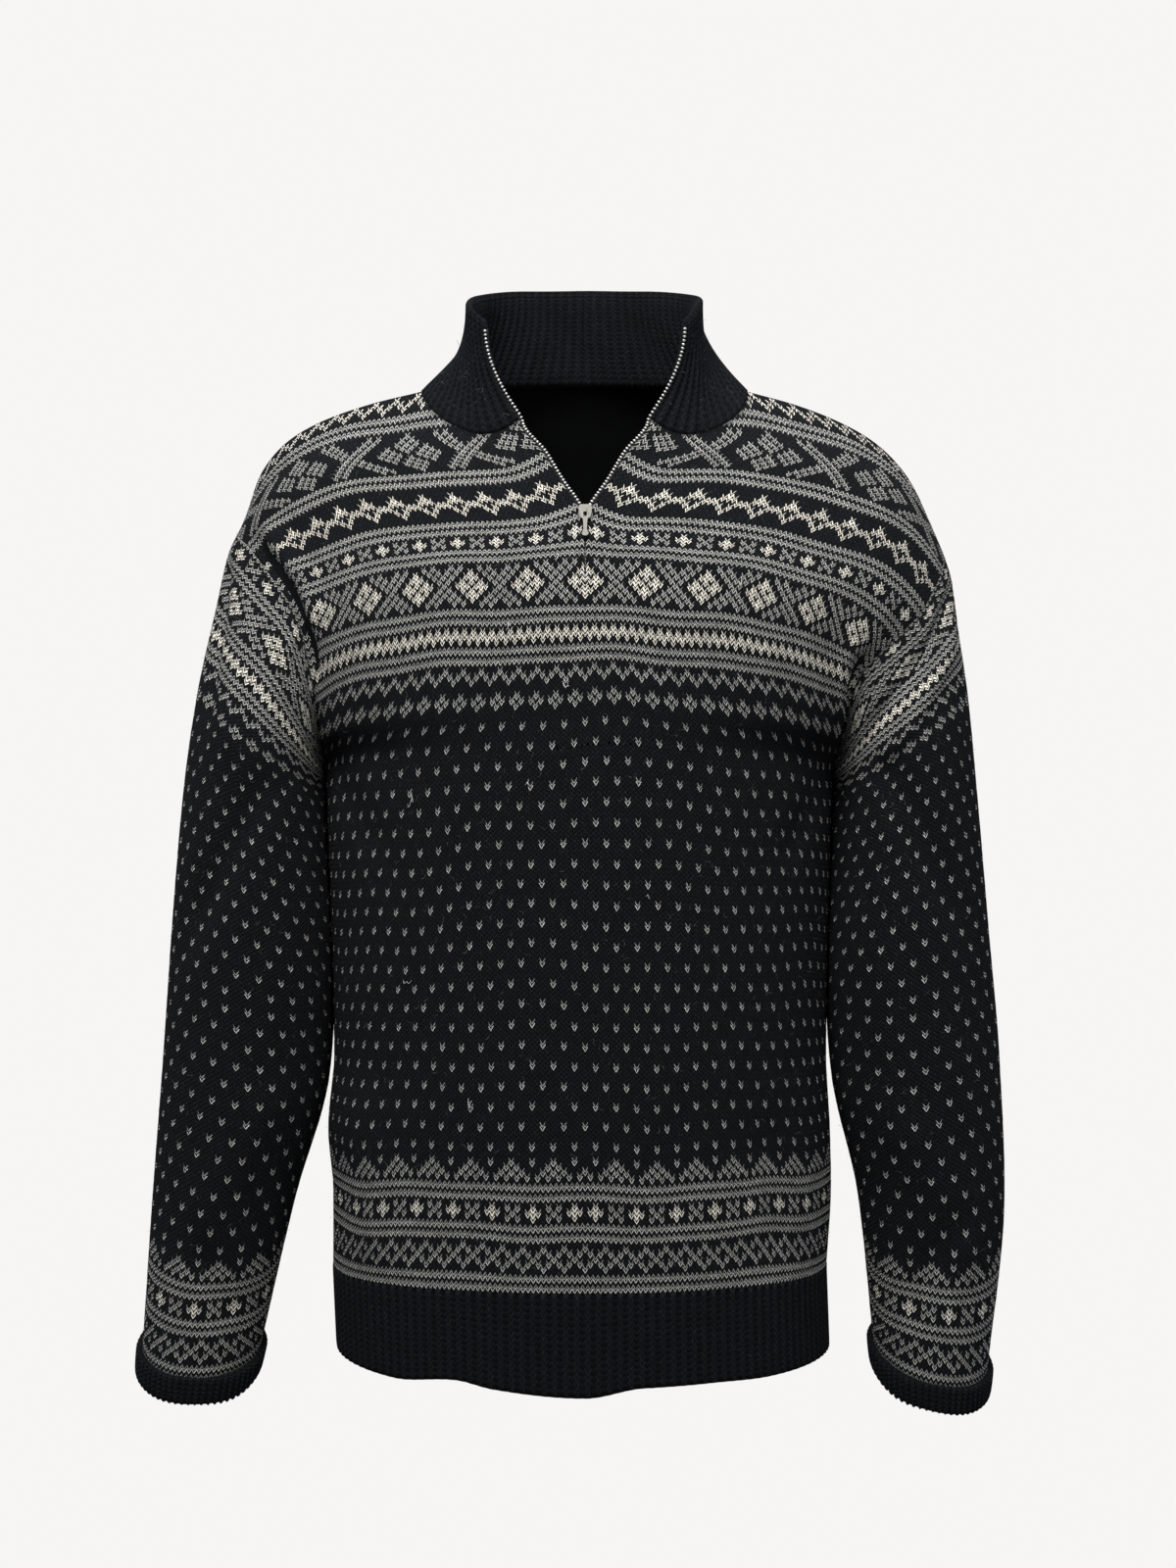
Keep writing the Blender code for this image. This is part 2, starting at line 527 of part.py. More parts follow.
def sewn_edges(side):
    """Each piece's grid drawn in at its seams, and the way its wall lies there, mitred to its neighbours."""
    pieces = sewn_pieces(side)
    edges = []
    for name, (grid, facing) in pieces.items():
        for i in range(len(grid)):
            for j in range(grid.shape[1]):
                top = i == 0 and (name == "sleeve" or PANEL_COLUMNS[name][j] >= NECK_SHARE)
                last = name != "sleeve" and j == grid.shape[1] - 1
                along_side = last and PANEL_LINES[name][i] <= ARMPIT_ROW
                if top or along_side:
                    into = np.zeros(3)
                    if top:
                        into = into + unit(grid[1, j] - grid[0, j])
                    if along_side:
                        into = into + unit(grid[i, -2] - grid[i, -1])
                    edges.append((name, i, j, grid[i, j], facing[i, j], unit(into)))
    places = np.array([e[3] for e in edges])
    made = {}
    for name, (grid, facing) in pieces.items():
        made[name] = [inset(grid, name != "sleeve", name != "sleeve", name != "sleeve"), facing.copy()]
    for name, i, j, place, n, t in edges:
        near = np.flatnonzero(np.linalg.norm(places - place, axis=1) < 2e-5)
        others = [edges[k] for k in near if edges[k][0] != name]
        if not others:
            continue
        n_other = np.mean([o[4] for o in others], axis=0)
        t_other = np.mean([o[5] for o in others], axis=0)
        # The panels together count as much as the sleeve, or as each other where no sleeve is met.
        kinds = [[k for k in near if (edges[k][0] == "sleeve") == sleeve] for sleeve in (True, False)]
        kinds = [g for g in kinds if g] if kinds[0] else [[k] for k in near]
        shared = np.zeros(3)
        for group in kinds:
            shared = shared + unit(np.mean([edges[k][4] for k in group], axis=0))
            shared = shared + 0.35 * unit(np.mean([edges[k][5] for k in group], axis=0))
        shared = unit(shared)
        away = unit(unit(t - t_other) + 0.3 * (n_other - n))
        made[name][0][i, j] = place + away * SEAM * (1 if float(shared @ n) > 0.7 else 2.5)
        lean = float(shared @ n)
        made[name][1][i, j] = shared / lean if lean > 0.7 else shared * 0.8
    return made


SEWN = {side: sewn_edges(side) for side in ("minus", "plus")}


def panel(name, face, slit):
    """A front or back panel, with a slit down its middle to the zip's lower end or none."""
    shares, lines = PANEL_COLUMNS[face], PANEL_LINES[face]
    left, n_left = SEWN["minus"][face]
    right, n_right = SEWN["plus"][face]
    left, n_left = left[:, ::-1], n_left[:, ::-1]
    cols = len(shares)
    outer, facing, ids = [], [], {}
    for i in range(len(lines)):
        for half, grid, n in ((0, left, n_left), (1, right, n_right)):
            for j in range(cols):
                middle = (half == 0 and j == cols - 1) or (half == 1 and j == 0)
                if middle and not (slit and lines[i] < SLIT_ROW):
                    key = (i, "middle")
                    if key in ids:
                        facing[ids[key]] = facing[ids[key]] + n[i, j]
                        ids[(i, half, j)] = ids[key]
                        continue
                    ids[key] = len(outer)
                ids[(i, half, j)] = len(outer)
                outer.append(grid[i, j])
                facing.append(n[i, j])
    outer, facing = np.array(outer), np.array(facing)
    for key, v in ids.items():
        if key[1] == "middle":
            outer[v, 0] = 0.0
            facing[v, 0] = 0.0
            facing[v] = unit(facing[v])
    quads = []
    for i in range(len(lines) - 1):
        for half in (0, 1):
            for j in range(cols - 1):
                quads.append([ids[(i, half, j)], ids[(i + 1, half, j)], ids[(i + 1, half, j + 1)],
                              ids[(i, half, j + 1)]])
    points = np.concatenate([outer, outer - facing * WALL])
    return add_mesh(name, points, wall_faces(quads, len(outer)), KNIT)


panel("front_panel", "front", True)
panel("back_panel", "back", False)


def sleeve(name, side):
    """A sleeve as an open tube, from the armhole to the cuff."""
    grid, facing = SEWN[side]["sleeve"]
    inner = grid - facing * WALL
    rings = [grid[i, :-1] for i in range(len(grid))] + [inner[i, :-1] for i in reversed(range(len(grid)))]
    return ring_solid(name, rings, True, KNIT)


sleeve("sleeve_right", "minus")
sleeve("sleeve_left", "plus")

# Turned-up cuffs. Each station of the section is how far it lies down from the sleeve's end, how far
# out from the sleeve's surface, and whether it carries ribs.
CUFF = table(
    "station down out ribbed",
    (0, -0.0050, 0.0030, 1),
    (1, -0.0030, 0.0044, 1),
    (2, 0.0135, 0.0043, 1),
    (3, 0.0172, 0.0022, 1),
    (4, 0.0174, -0.0008, 0),
    (5, 0.0145, -0.0028, 0),
    (6, 0.0004, -0.0030, 0),
    (7, 0.0004, 0.0000, 0),
    (8, 0.0135, 0.0000, 0),
    (9, 0.0135, 0.0007, 0),
    (10, -0.0050, 0.0007, 0),
)
CUFF_SPLIT = 4         # cuff columns, each a rib or a groove, to one column of the sleeve


def cuff(name, side):
    """A cuff that hangs from the sleeve's edge and is turned up over it."""
    coarse = SLEEVE_COLUMNS[side]
    places = np.arange((len(coarse) - 1) * CUFF_SPLIT + 1) / CUFF_SPLIT
    fine = np.interp(places, np.arange(len(coarse)), coarse)
    made = []
    for shares in (coarse, fine):
        grid = sleeve_grid(side, np.array([SLEEVE_ROWS - 6.0, SLEEVE_ROWS - 1, SLEEVE_ROWS]), shares)
        made.append((grid[-1], unit(grid[-1] - grid[0]), sleeve_normals(side, grid)[-1]))
    rings = []
    for down_by, out_by, ribbed in zip(CUFF["down"], CUFF["out"], CUFF["ribbed"]):
        edge, down, facing = made[1] if ribbed else made[0]
        out = np.full(len(edge), out_by)
        if ribbed:
            out[::2] += RIB_RISE / 2
            out[1::2] -= RIB_RISE / 2
        rings.append((edge + down * down_by + facing * out[:, None])[:-1])
    return ring_solid(name, rings, True, RIB)


cuff("cuff_right", "minus")
cuff("cuff_left", "plus")

# Hem ribbing: how far the lower edge rises above its level, along the front from -X to +X
HEM_WAVE = table(
    "share rise",
    (-1.00, 0.0000),
    (-0.60, 0.0010),
    (-0.38, 0.0080),
    (-0.27, 0.0040),
    (0.00, 0.0000),
    (0.17, 0.0065),
    (0.37, 0.0060),
    (0.57, 0.0030),
    (1.00, 0.0000),
)
HEM_SIDE = {"minus": 0.1924, "plus": 0.1888}
HEM_FRONT_Y = -0.1300
HEM_BACK_Y = 0.1210
HEM_RIBS = 64
HEM_COARSE = 4         # plain inner columns are this many times wider than the ribbed ones


def hem_grid(face, heights, shares):
    """Hem points at heights (0 top, 1 lower edge) and signed shares, -1 on the -X side."""
    upper = np.empty((len(shares), 3))
    for side, sign in (("minus", -1), ("plus", 1)):
        here = (shares < 0) if sign < 0 else (shares >= 0)
        upper[here] = lattice(face, side, np.abs(shares[here]))[-1]
    turn = shares * np.pi / 2
    side_x = np.where(shares < 0, HEM_SIDE["minus"], HEM_SIDE["plus"])
    lower = upper.copy()
    far = HEM_FRONT_Y if face == "front" else HEM_BACK_Y
    far_upper = along(FRONT if face == "front" else BACK, "y", LAST_ROW)
    edge = FRONT_SIDE if face == "front" else BACK_SIDE
    upper_x = np.where(shares < 0, along(edge, "minus_x", LAST_ROW), along(edge, "plus_x", LAST_ROW))
    lower[:, 0] *= side_x / upper_x
    lower[:, 1] *= far / far_upper
    lower[:, 2] = HEM_Z + (along(HEM_WAVE, "rise", shares) if face == "front" else 0.003 * np.sin(turn * 5) ** 2)
    h = np.asarray(heights)[:, None, None]
    grid = upper[None] * (1 - h) + lower[None] * h
    return grid


def draw_in_ends(grid):
    """The grid with its first and last columns moved along the cloth, clear of a seam."""
    first, last = unit(grid[:, 1] - grid[:, 0]), unit(grid[:, -2] - grid[:, -1])
    grid[:, 0] += first * SEAM
    grid[:, -1] += last * SEAM
    return grid


def hem(name, face):
    """Hem ribbing below one panel, ribbed outside and plain inside."""
    fine = np.linspace(-1, 1, HEM_RIBS * 2 + 1)
    sign = 1 if face == "front" else -1
    outer = hem_grid(face, [0, 0.5, 1.0], fine)
    facing = normals(outer) * sign
    rise = np.full(len(fine), RIB_RISE / 2)
    rise[1::2] = -RIB_RISE / 2
    plain = (outer - facing * RIB_WALL)[[2, 0]][:, ::HEM_COARSE]
    ribbed = (outer + facing * rise[None, :, None])[[0, 2]]
    rings = []
    for grid in (ribbed, plain):
        rings += list(draw_in_ends(grid))
    rings[0][:, 2] -= SEAM
    rings[-1][:, 2] -= SEAM
    return ring_solid(name, rings, False, RIB)


hem("hem_rib_front", "front")
hem("hem_rib_back", "back")

# Collar
COLLAR_SPANS = 120
COLLAR_HEIGHTS = np.array([0, 0.15, 0.42, 0.88, 1.0])
COLLAR_THICK = np.array([0.86, 1, 1, 0.95, 0.6])       # share of its wall at those heights
COLLAR_LIP = np.array([0, 0, 0, 0, -0.0012])           # its fold line bends in at the top
COLLAR_COARSE = 4
COLLAR_FOOT_SPACE = 0.0005


def neck_edge(side):
    """The neck edge from the zip to the middle of the back, through the panels' corners."""
    found = []
    for face, shares in (("front", SHARES[:5]), ("back", BACK_SHARES[:4][::-1])):
        grid = lattice(face, side, shares)
        found.append(at_rows(grid, neck_row(face, shares)[None, :])[0])
    return np.concatenate([found[0], found[1][1:]])


def collar_grid(side, heights, shares):
    """Collar points at heights (0 foot, 1 upper edge) and shares from the zip to the middle back."""
    edge = neck_edge(side)
    reach = np.concatenate([[0], np.linalg.norm(np.diff(edge, axis=0), axis=1).cumsum()])
    foot = np.stack([np.interp(shares * reach[-1], reach, edge[:, a]) for a in range(3)], 1)
    x = along(COLLAR_TOP, side + "_x", shares) * (-1 if side == "minus" else 1)
    top = np.stack([x, along(COLLAR_TOP, "y", shares), along(COLLAR_TOP, "z", shares)], 1)
    h = np.asarray(heights)[:, None, None]
    grid = top[None] + (foot - top)[None] * (1 - h) ** 2.2
    grid[:, :, 2] = foot[:, 2] + (top[:, 2] - foot[:, 2]) * h[:, :, 0] ** 0.92
    return grid


def collar(name):
    """The stand collar from one side of the zip round to the other, ribbed outside and plain inside."""
    half = COLLAR_SPANS // 2
    shares = np.arange(half + 1) / half
    heights = COLLAR_HEIGHTS
    minus = collar_grid("minus", heights, shares)
    plus = collar_grid("plus", heights, shares)[:, ::-1]
    outer = np.concatenate([minus, plus[:, 1:]], 1)
    outer[:, half, 0] = 0.0
    facing = normals(outer)
    if (facing[:, half, 1]).mean() < 0:
        facing = -facing
    rise = np.full(outer.shape[1], RIB_RISE / 2)
    rise[1::2] = -RIB_RISE / 2
    outer[0] += unit(outer[1] - outer[0]) * COLLAR_FOOT_SPACE
    thick = COLLAR_THICK[:, None, None] * COLLAR_WALL
    plain = (outer - facing * thick)[::-1][:, ::COLLAR_COARSE]
    ribbed = outer + facing * (rise[None, :, None] + COLLAR_LIP[:, None, None])
    rings = []
    for grid in (ribbed, plain):
        rings += list(draw_in_ends(grid))
    return ring_solid(name, rings, False, RIB)


collar("collar")

# Zip halves. Each section lies in two directions from the cloth's open edge: "off" away from the cloth
# into the opening, and "out" from the cloth's outer face. In the table, opened is 1 where the teeth stand
# in the opening, behind is 1 where they lie behind the cloth, and tape is 1 where the tape shows its width.
ZIP_COURSE = table(
    "row opened behind tape",
    (-45.8, 1.0, 0.0, 0.0),
    (-43.0, 1.0, 0.0, 0.0),
    (-41.0, 1.0, 0.0, 1.0),
    (-23.6, 1.0, 0.0, 1.0),
    (-22.3, 1.0, 1.0, 1.0),
    (-21.0, 0.0, 1.0, 1.0),
    (-10.8, 0.0, 1.0, 1.0),
)
ZIP_ROWS = np.array([-10.8, -15, -21, -22.3, -23.6, -26, -30, -34, -38, -39.7, -41.6, -43.05, -44.5, -45.8])
ZIP_OFF = 0.0003       # from the cloth's edge to the teeth
ZIP_SUNK = 0.0010      # the teeth's outer face lies this far below the cloth's
ZIP_TOP = 0.96         # collar height at which the zip ends


def front_edge(side, rows):
    """The panel's open edge, its outward normal and the way into the cloth, between the panel's corners."""
    grid, facing = SEWN[side]["front"]
    corner_rows = neck_rows("front", ROW_LINES, np.zeros(1))[:, 0]
    columns = (grid[:, 0], facing[:, 0], grid[:, 1] - grid[:, 0])
    read = [np.stack([np.interp(rows, corner_rows, c[:, a]) for a in range(3)], 1) for c in columns]
    return read[0], unit(read[1]), unit(read[2])


def collar_edge(side):
    """The collar's front edge in the same way, from its foot to the zip's upper end."""
    whole = collar_grid(side, COLLAR_HEIGHTS, np.array([0.0, 2.0 / COLLAR_SPANS]))
    out = normals(whole)[:, 0] * (1 if side == "plus" else -1)
    into = unit(whole[:, 1] - whole[:, 0])
    part = (ZIP_TOP - COLLAR_HEIGHTS[-2]) / (COLLAR_HEIGHTS[-1] - COLLAR_HEIGHTS[-2])
    last = whole[-2, 0] * (1 - part) + whole[-1, 0] * part
    place = np.concatenate([whole[:-1, 0], [last]])
    return place, np.concatenate([out[:-1], out[-2:-1]]), np.concatenate([into[:-1], into[-2:-1]])


def zip_half(name, side):
    """One half of the zip: the row of teeth as one strip, and its tape."""
    place, out, into = front_edge(side, ZIP_ROWS)
    course = {n: np.interp(ZIP_ROWS, ZIP_COURSE["key"], ZIP_COURSE[n]) for n in ("opened", "behind", "tape")}
    upper = collar_edge(side)
    on_panel = len(place)
    place, out, into = (np.concatenate(pair) for pair in zip((place, out, into), upper))
    course["opened"] = np.concatenate([course["opened"], np.ones(len(upper[0]))])
    for n in ("behind", "tape"):
        course[n] = np.concatenate([course[n], np.zeros(len(upper[0]))])
    out[on_panel] = unit(out[on_panel - 1] + out[on_panel + 1])
    run = unit(np.gradient(place, axis=0))
    off = -into
    off = unit(off - run * (off * run).sum(1)[:, None])
    out = unit(out - run * (out * run).sum(1)[:, None])
    off = unit(off - out * (off * out).sum(1)[:, None])
    rings = []
    for i in range(len(place)):
        high = ZIP_OFF + TEETH_WIDTH * course["opened"][i]
        low = high - TEETH_WIDTH
        front = -ZIP_SUNK * (1 - course["behind"][i]) - (WALL + ZIP_SPACE) * course["behind"][i]
        back = front - TEETH_THICK
        under = min(-(WALL + ZIP_SPACE), front - 0.0004)
        edge = low + (-TAPE_WIDTH - low) * course["tape"][i]
        if course["tape"][i] < 0.05:
            corners = ((low + 0.0011, back), (low + 0.0006, back), (low, back + 0.0002), (low, under + 0.0005))
        else:
            corners = ((low, under - TAPE_THICK), (edge, under - TAPE_THICK), (edge, under), (low, under))
        section = ((high, front), (high, min(back, under - TAPE_THICK))) + corners + ((low, front),)
        ring = np.array([place[i] + off[i] * a + out[i] * b for a, b in section])
        # Where the two halves meet, each stops just short of the middle.
        sign = 1 if side == "plus" else -1
        ring[:, 0] = sign * np.maximum(sign * ring[:, 0], ZIP_OFF / 2)
        # The halves mirror each other, so one runs round its section the other way to face outward.
        rings.append(ring[::-sign])
    return swept(name, rings, TAPE)


def swept(name, rings, made_of):
    """A body through sections in order, closed by a fan of faces at each end."""
    count = len(rings[0])
    last, total = (len(rings) - 1) * count, len(rings) * count
    faces = []
    for i in range(count):
        j = (i + 1) % count
        faces += [[i, j, total], [last + j, last + i, total + 1]]
    for r in range(len(rings) - 1):
        for i in range(count):
            j = (i + 1) % count
            faces.append([r * count + i, (r + 1) * count + i, (r + 1) * count + j, r * count + j])
    middles = [rings[0].mean(0, keepdims=True), rings[-1].mean(0, keepdims=True)]
    return add_mesh(name, np.concatenate(list(rings) + middles), faces, made_of)


zip_half("zip_right", "minus")
zip_half("zip_left", "plus")

# Slider and pull tab, on the cloth at the lower end of the opening. Their sizes run "down" the cloth from
# the slider's middle, "half" to each side, and "out" from the cloth.
SLIDER_PLATE = table(
    "down half",
    (-0.0056, 0.0028),
    (-0.0050, 0.0042),
    (-0.0030, 0.0048),
    (0.0010, 0.0045),
    (0.0050, 0.0036),
    (0.0058, 0.0026),
)
PLATE_OUT = (0.0009, 0.0031)
BRIDGE_HALF = 0.0009
BRIDGE_OUTER = table("down out", (-0.0032, 0.0020), (-0.0031, 0.0052), (-0.0024, 0.0064))
BRIDGE_INNER = table("down out", (-0.0021, 0.0020), (-0.0020, 0.0050), (-0.0016, 0.0054))
PULL_OUT = (0.0037, 0.0047)
PULL_OUTER = table(
    "down half",
    (0.0005, 0.0012),
    (0.0009, 0.0019),
    (0.0062, 0.0021),
    (0.0090, 0.0015),
    (0.0162, 0.0012),
    (0.0178, 0.0018),
    (0.0192, 0.0024),
    (0.0206, 0.0020),
    (0.0213, 0.0010),
)
PULL_HOLE = table("down half", (0.0017, 0.0009), (0.0020, 0.0013), (0.0055, 0.0013), (0.0060, 0.0008))


def slider_frame():
    """The slider's middle on the cloth, and its directions across, down and out."""
    sides = [front_edge(side, [SLIDER_ROW - 3, SLIDER_ROW, SLIDER_ROW + 3])[0] for side in ("minus", "plus")]
    above, middle, below = (sides[0] + sides[1]) / 2
    down = (below - above) * (0, 1, 1)
    down = unit(down)
    return middle * (0, 1, 1), np.array([1.0, 0, 0]), down, np.array([0.0, down[2], -down[1]])


def mirrored(tab, first, second):
    """A closed loop through a table's points and, back again, their mirror images."""
    one = list(zip(tab[first], tab[second]))
    return one + [(a, -b) for a, b in reversed(one)]


def slab(name, loops, low, high, lay, made_of):
    """A flat body between two heights, with the outline of its first loop and the other loops as holes."""
    corners = [c for loop in loops for c in loop]
    fill = tessellate_polygon([[(a, b, 0.0) for a, b in loop] for loop in loops])
    count = len(corners)
    points = [lay(a, b, low) for a, b in corners] + [lay(a, b, high) for a, b in corners]
    turned = 0.0
    for i, j, k in fill:
        (ax, ay), (bx, by), (cx, cy) = corners[i], corners[j], corners[k]
        turned += (bx - ax) * (cy - ay) - (cx - ax) * (by - ay)
    loop = loops[0]
    around = sum(a[0] * b[1] - b[0] * a[1] for a, b in zip(loop, loop[1:] + loop[:1]))
    if turned * around < 0:
        fill = [tuple(reversed(t)) for t in fill]
    faces = [tuple(reversed(t)) for t in fill] + [tuple(v + count for v in t) for t in fill]
    start = 0
    for n, loop in enumerate(loops):
        area = sum(a[0] * b[1] - b[0] * a[1] for a, b in zip(loop, loop[1:] + loop[:1]))
        same = (area * around > 0) == (n == 0)
        for i in range(len(loop)):
            a, b = start + i, start + (i + 1) % len(loop)
            faces.append((a, b, b + count, a + count) if same else (b, a, a + count, b + count))
        start += len(loop)
    return add_mesh(name, points, faces, made_of)


def slider_and_pull():
    """The slider with its bridge, and the pull tab hanging from the bridge."""
    middle, across, down, out = slider_frame()

    def flat(along_by, across_by, out_by):
        return middle + down * along_by + across * across_by + out * out_by

    def upright(along_by, out_by, across_by):
        return middle + down * along_by + across * across_by + out * out_by

    plate = slab("zip_slider", [mirrored(SLIDER_PLATE, "down", "half")], *PLATE_OUT, flat, METAL)
    rising = list(zip(BRIDGE_OUTER["key"], BRIDGE_OUTER["out"]))
    inside = list(zip(BRIDGE_INNER["key"], BRIDGE_INNER["out"]))
    arch = rising + [(-a, b) for a, b in reversed(rising)] + [(-a, b) for a, b in inside] + inside[::-1]
    bridge = slab("slider_bridge", [arch], -BRIDGE_HALF, BRIDGE_HALF, upright, METAL)
    bridge.hide_render = True
    bridge.display_type = "WIRE"
    joined = plate.modifiers.new("bridge", "BOOLEAN")
    joined.operation = "UNION"
    joined.object = bridge
    loops = [mirrored(PULL_OUTER, "down", "half"), mirrored(PULL_HOLE, "down", "half")]
    slab("zip_pull", loops, *PULL_OUT, flat, METAL)


slider_and_pull()
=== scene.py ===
# %% [markdown]
# # Quarter-zip sweater: its look, built round the CAD frame
# The frame gives the true size and place of every piece. This script covers it with the knit itself:
# panels and sleeves of separate stitches in three yarns, ribbing for collar, cuffs and hem, and the
# metal zip. Lengths are in metres. The front faces -Y, +X is the left sleeve's side and +Z is up.

import bpy
import numpy as np
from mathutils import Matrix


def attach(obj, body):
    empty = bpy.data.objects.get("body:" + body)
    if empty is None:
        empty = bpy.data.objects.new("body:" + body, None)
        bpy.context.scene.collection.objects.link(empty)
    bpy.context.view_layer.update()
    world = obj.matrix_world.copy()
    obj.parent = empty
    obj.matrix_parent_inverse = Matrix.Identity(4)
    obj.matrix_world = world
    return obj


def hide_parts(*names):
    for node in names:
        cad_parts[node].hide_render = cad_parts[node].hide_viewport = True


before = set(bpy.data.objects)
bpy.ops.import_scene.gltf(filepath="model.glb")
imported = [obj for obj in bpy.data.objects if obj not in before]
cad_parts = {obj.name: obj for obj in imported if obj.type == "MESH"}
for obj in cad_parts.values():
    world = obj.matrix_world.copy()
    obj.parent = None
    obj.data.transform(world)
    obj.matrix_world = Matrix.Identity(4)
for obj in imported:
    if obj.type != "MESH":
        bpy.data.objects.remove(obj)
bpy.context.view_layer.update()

# %% [markdown]
# ## The garment's shape
# The cloth follows the same tables of sizes as the CAD part. Panels are laid out in stitches and knitted
# rows: row 0 is a light line across the chest, rows count down from it, and share 0..1 runs from the middle
# of a panel to its side seam. "minus" is the -X side and "plus" the +X side.

# %% Sizes
WALL = 0.0026          # stranded knit of the panels and sleeves
RIB_WALL = 0.0030      # single ribbing
COLLAR_WALL = 0.0058   # ribbing folded double
HEM_Z = -0.7330        # lower edge of the hem
ROW = 0.00355          # height of one knitted row
STITCH = 0.00394       # width of one stitch
TOP_ROW = -57          # shoulder line
NECK_ROW = -46         # neck edge beside the zip
BACK_NECK_ROW = -53    # neck edge at the middle of the back
SLIT_ROW = -10         # lower end of the zip
ARMPIT_ROW = 26
LAST_ROW = 134         # last row above the hem ribbing
SHOULDER_ROWS = 14.0   # rows over which a panel turns to the shoulder line
LIFT_WIDTH = 0.034     # width of the raised cloth along the zip
NECK_SHARE = 0.345     # share of a panel's half taken by the neck
SLEEVE_ROWS = 184      # rows of a sleeve, from the armhole to the cuff
FITTED_ROWS = 42.0     # sleeve rows over which it turns from the armhole's shape to a plain oval
HALF_PANEL = 0.268     # half a panel's width, for the slope of its folds
SLEEVE_ROUND = 0.42    # the way round a sleeve, for the slope of its folds
SIGN = {"minus": -1, "plus": 1}   # of x on each side
FACING = {"front": 1, "back": -1}
ARMPIT_TOP_Z = -0.24   # below this a sleeve hangs against the body
ARMPIT_SPACE = (0.0003, 0.0025)  # and keeps this far from it, at the armhole and lower down
print("a panel has", LAST_ROW - TOP_ROW + 1, "rows and a sleeve", SLEEVE_ROWS)

# %% Reading a table
def table(names, *rows):
    """A table with named columns, the first of which is the one that is looked up."""
    values = np.array(rows, float)
    return {"key": values[:, 0], **{n: values[:, i] for i, n in enumerate(names.split())}}


def along(tab, name, at):
    """A smooth value of one column, with no overshoot between its rows."""
    x, y = tab["key"], tab[name]
    at = np.clip(np.asarray(at, float), x[0], x[-1])
    step = np.diff(x)
    rise = np.diff(y) / step
    slope = np.concatenate([rise[:1], np.zeros(len(x) - 2), rise[-1:]])
    same = rise[:-1] * rise[1:] > 0
    both = rise[:-1] + rise[1:]
    slope[1:-1][same] = 2 * (rise[:-1] * rise[1:])[same] / both[same]
    i = np.clip(np.searchsorted(x, at) - 1, 0, len(x) - 2)
    t = (at - x[i]) / step[i]
    a = (1 + 2 * t) * (1 - t) ** 2 * y[i] + t * (1 - t) ** 2 * step[i] * slope[i]
    return a + t * t * (3 - 2 * t) * y[i + 1] + t * t * (t - 1) * step[i] * slope[i + 1]


sample = table("share rise", (0, 0.0), (1, 1.0), (2, 0.0))
print("a table read between its rows:", np.round(along(sample, "rise", [0.25, 0.5, 0.75]), 3))

# %% [markdown]
# ## Panel tables
# The panels are knitted flat and shaped at their sides. Their worn form is given by two lines of each: its
# middle, which bows forward over the chest, and its side, along the armhole and the side seam. Tables of
# these lines are used because every row between them then follows by one rule.

# %% Panel tables
# The middle of the front: gap is the half width of the zip's opening, lift is how far the open edge
# is raised, wrap is how far a row turns round the body and early is the share of its drop that comes
# before the shoulder's end.
FRONT = table(
    "row gap lift y z wrap early",
    (-57, 0.0480, 0.0140, -0.0300, 0.0040, 1.00, 0.40),
    (-46, 0.0477, 0.0134, -0.0600, -0.0360, 1.00, 0.42),
    (-36, 0.0295, 0.0115, -0.0790, -0.0590, 1.05, 0.45),
    (-30, 0.0175, 0.0100, -0.0920, -0.0770, 1.08, 0.47),
    (-24, 0.0050, 0.0095, -0.1050, -0.0940, 1.12, 0.50),
    (-21, 0.0007, 0.0080, -0.1110, -0.1020, 1.14, 0.50),
    (-14, 0.0006, 0.0015, -0.1245, -0.1180, 1.18, 0.53),
    (-8, 0.0005, 0.0000, -0.1310, -0.1367, 1.21, 0.56),
    (0, 0.0000, 0.0000, -0.1370, -0.1622, 1.25, 0.60),
    (26, 0.0000, 0.0000, -0.1410, -0.2547, 1.5708, 0.70),
    (60, 0.0000, 0.0000, -0.1390, -0.3779, 1.5708, 0.75),
    (100, 0.0000, 0.0000, -0.1360, -0.5256, 1.5708, 0.80),
    (118, 0.0000, 0.0000, -0.1340, -0.5933, 1.5708, 0.80),
    (134, 0.0000, 0.0000, -0.1320, -0.6540, 1.5708, 0.80),
)
BACK = table(
    "row gap lift y z wrap early",
    (-57, 0.0000, 0.0000, 0.0600, 0.0160, 1.00, 0.40),
    (-50, 0.0000, 0.0000, 0.0740, -0.0030, 1.00, 0.42),
    (-40, 0.0000, 0.0000, 0.0900, -0.0340, 1.05, 0.45),
    (-20, 0.0000, 0.0000, 0.1180, -0.0980, 1.15, 0.50),
    (0, 0.0000, 0.0000, 0.1310, -0.1680, 1.25, 0.60),
    (26, 0.0000, 0.0000, 0.1350, -0.2620, 1.5708, 0.70),
    (60, 0.0000, 0.0000, 0.1320, -0.3850, 1.5708, 0.75),
    (100, 0.0000, 0.0000, 0.1270, -0.5300, 1.5708, 0.80),
    (134, 0.0000, 0.0000, 0.1230, -0.6540, 1.5708, 0.80),
)

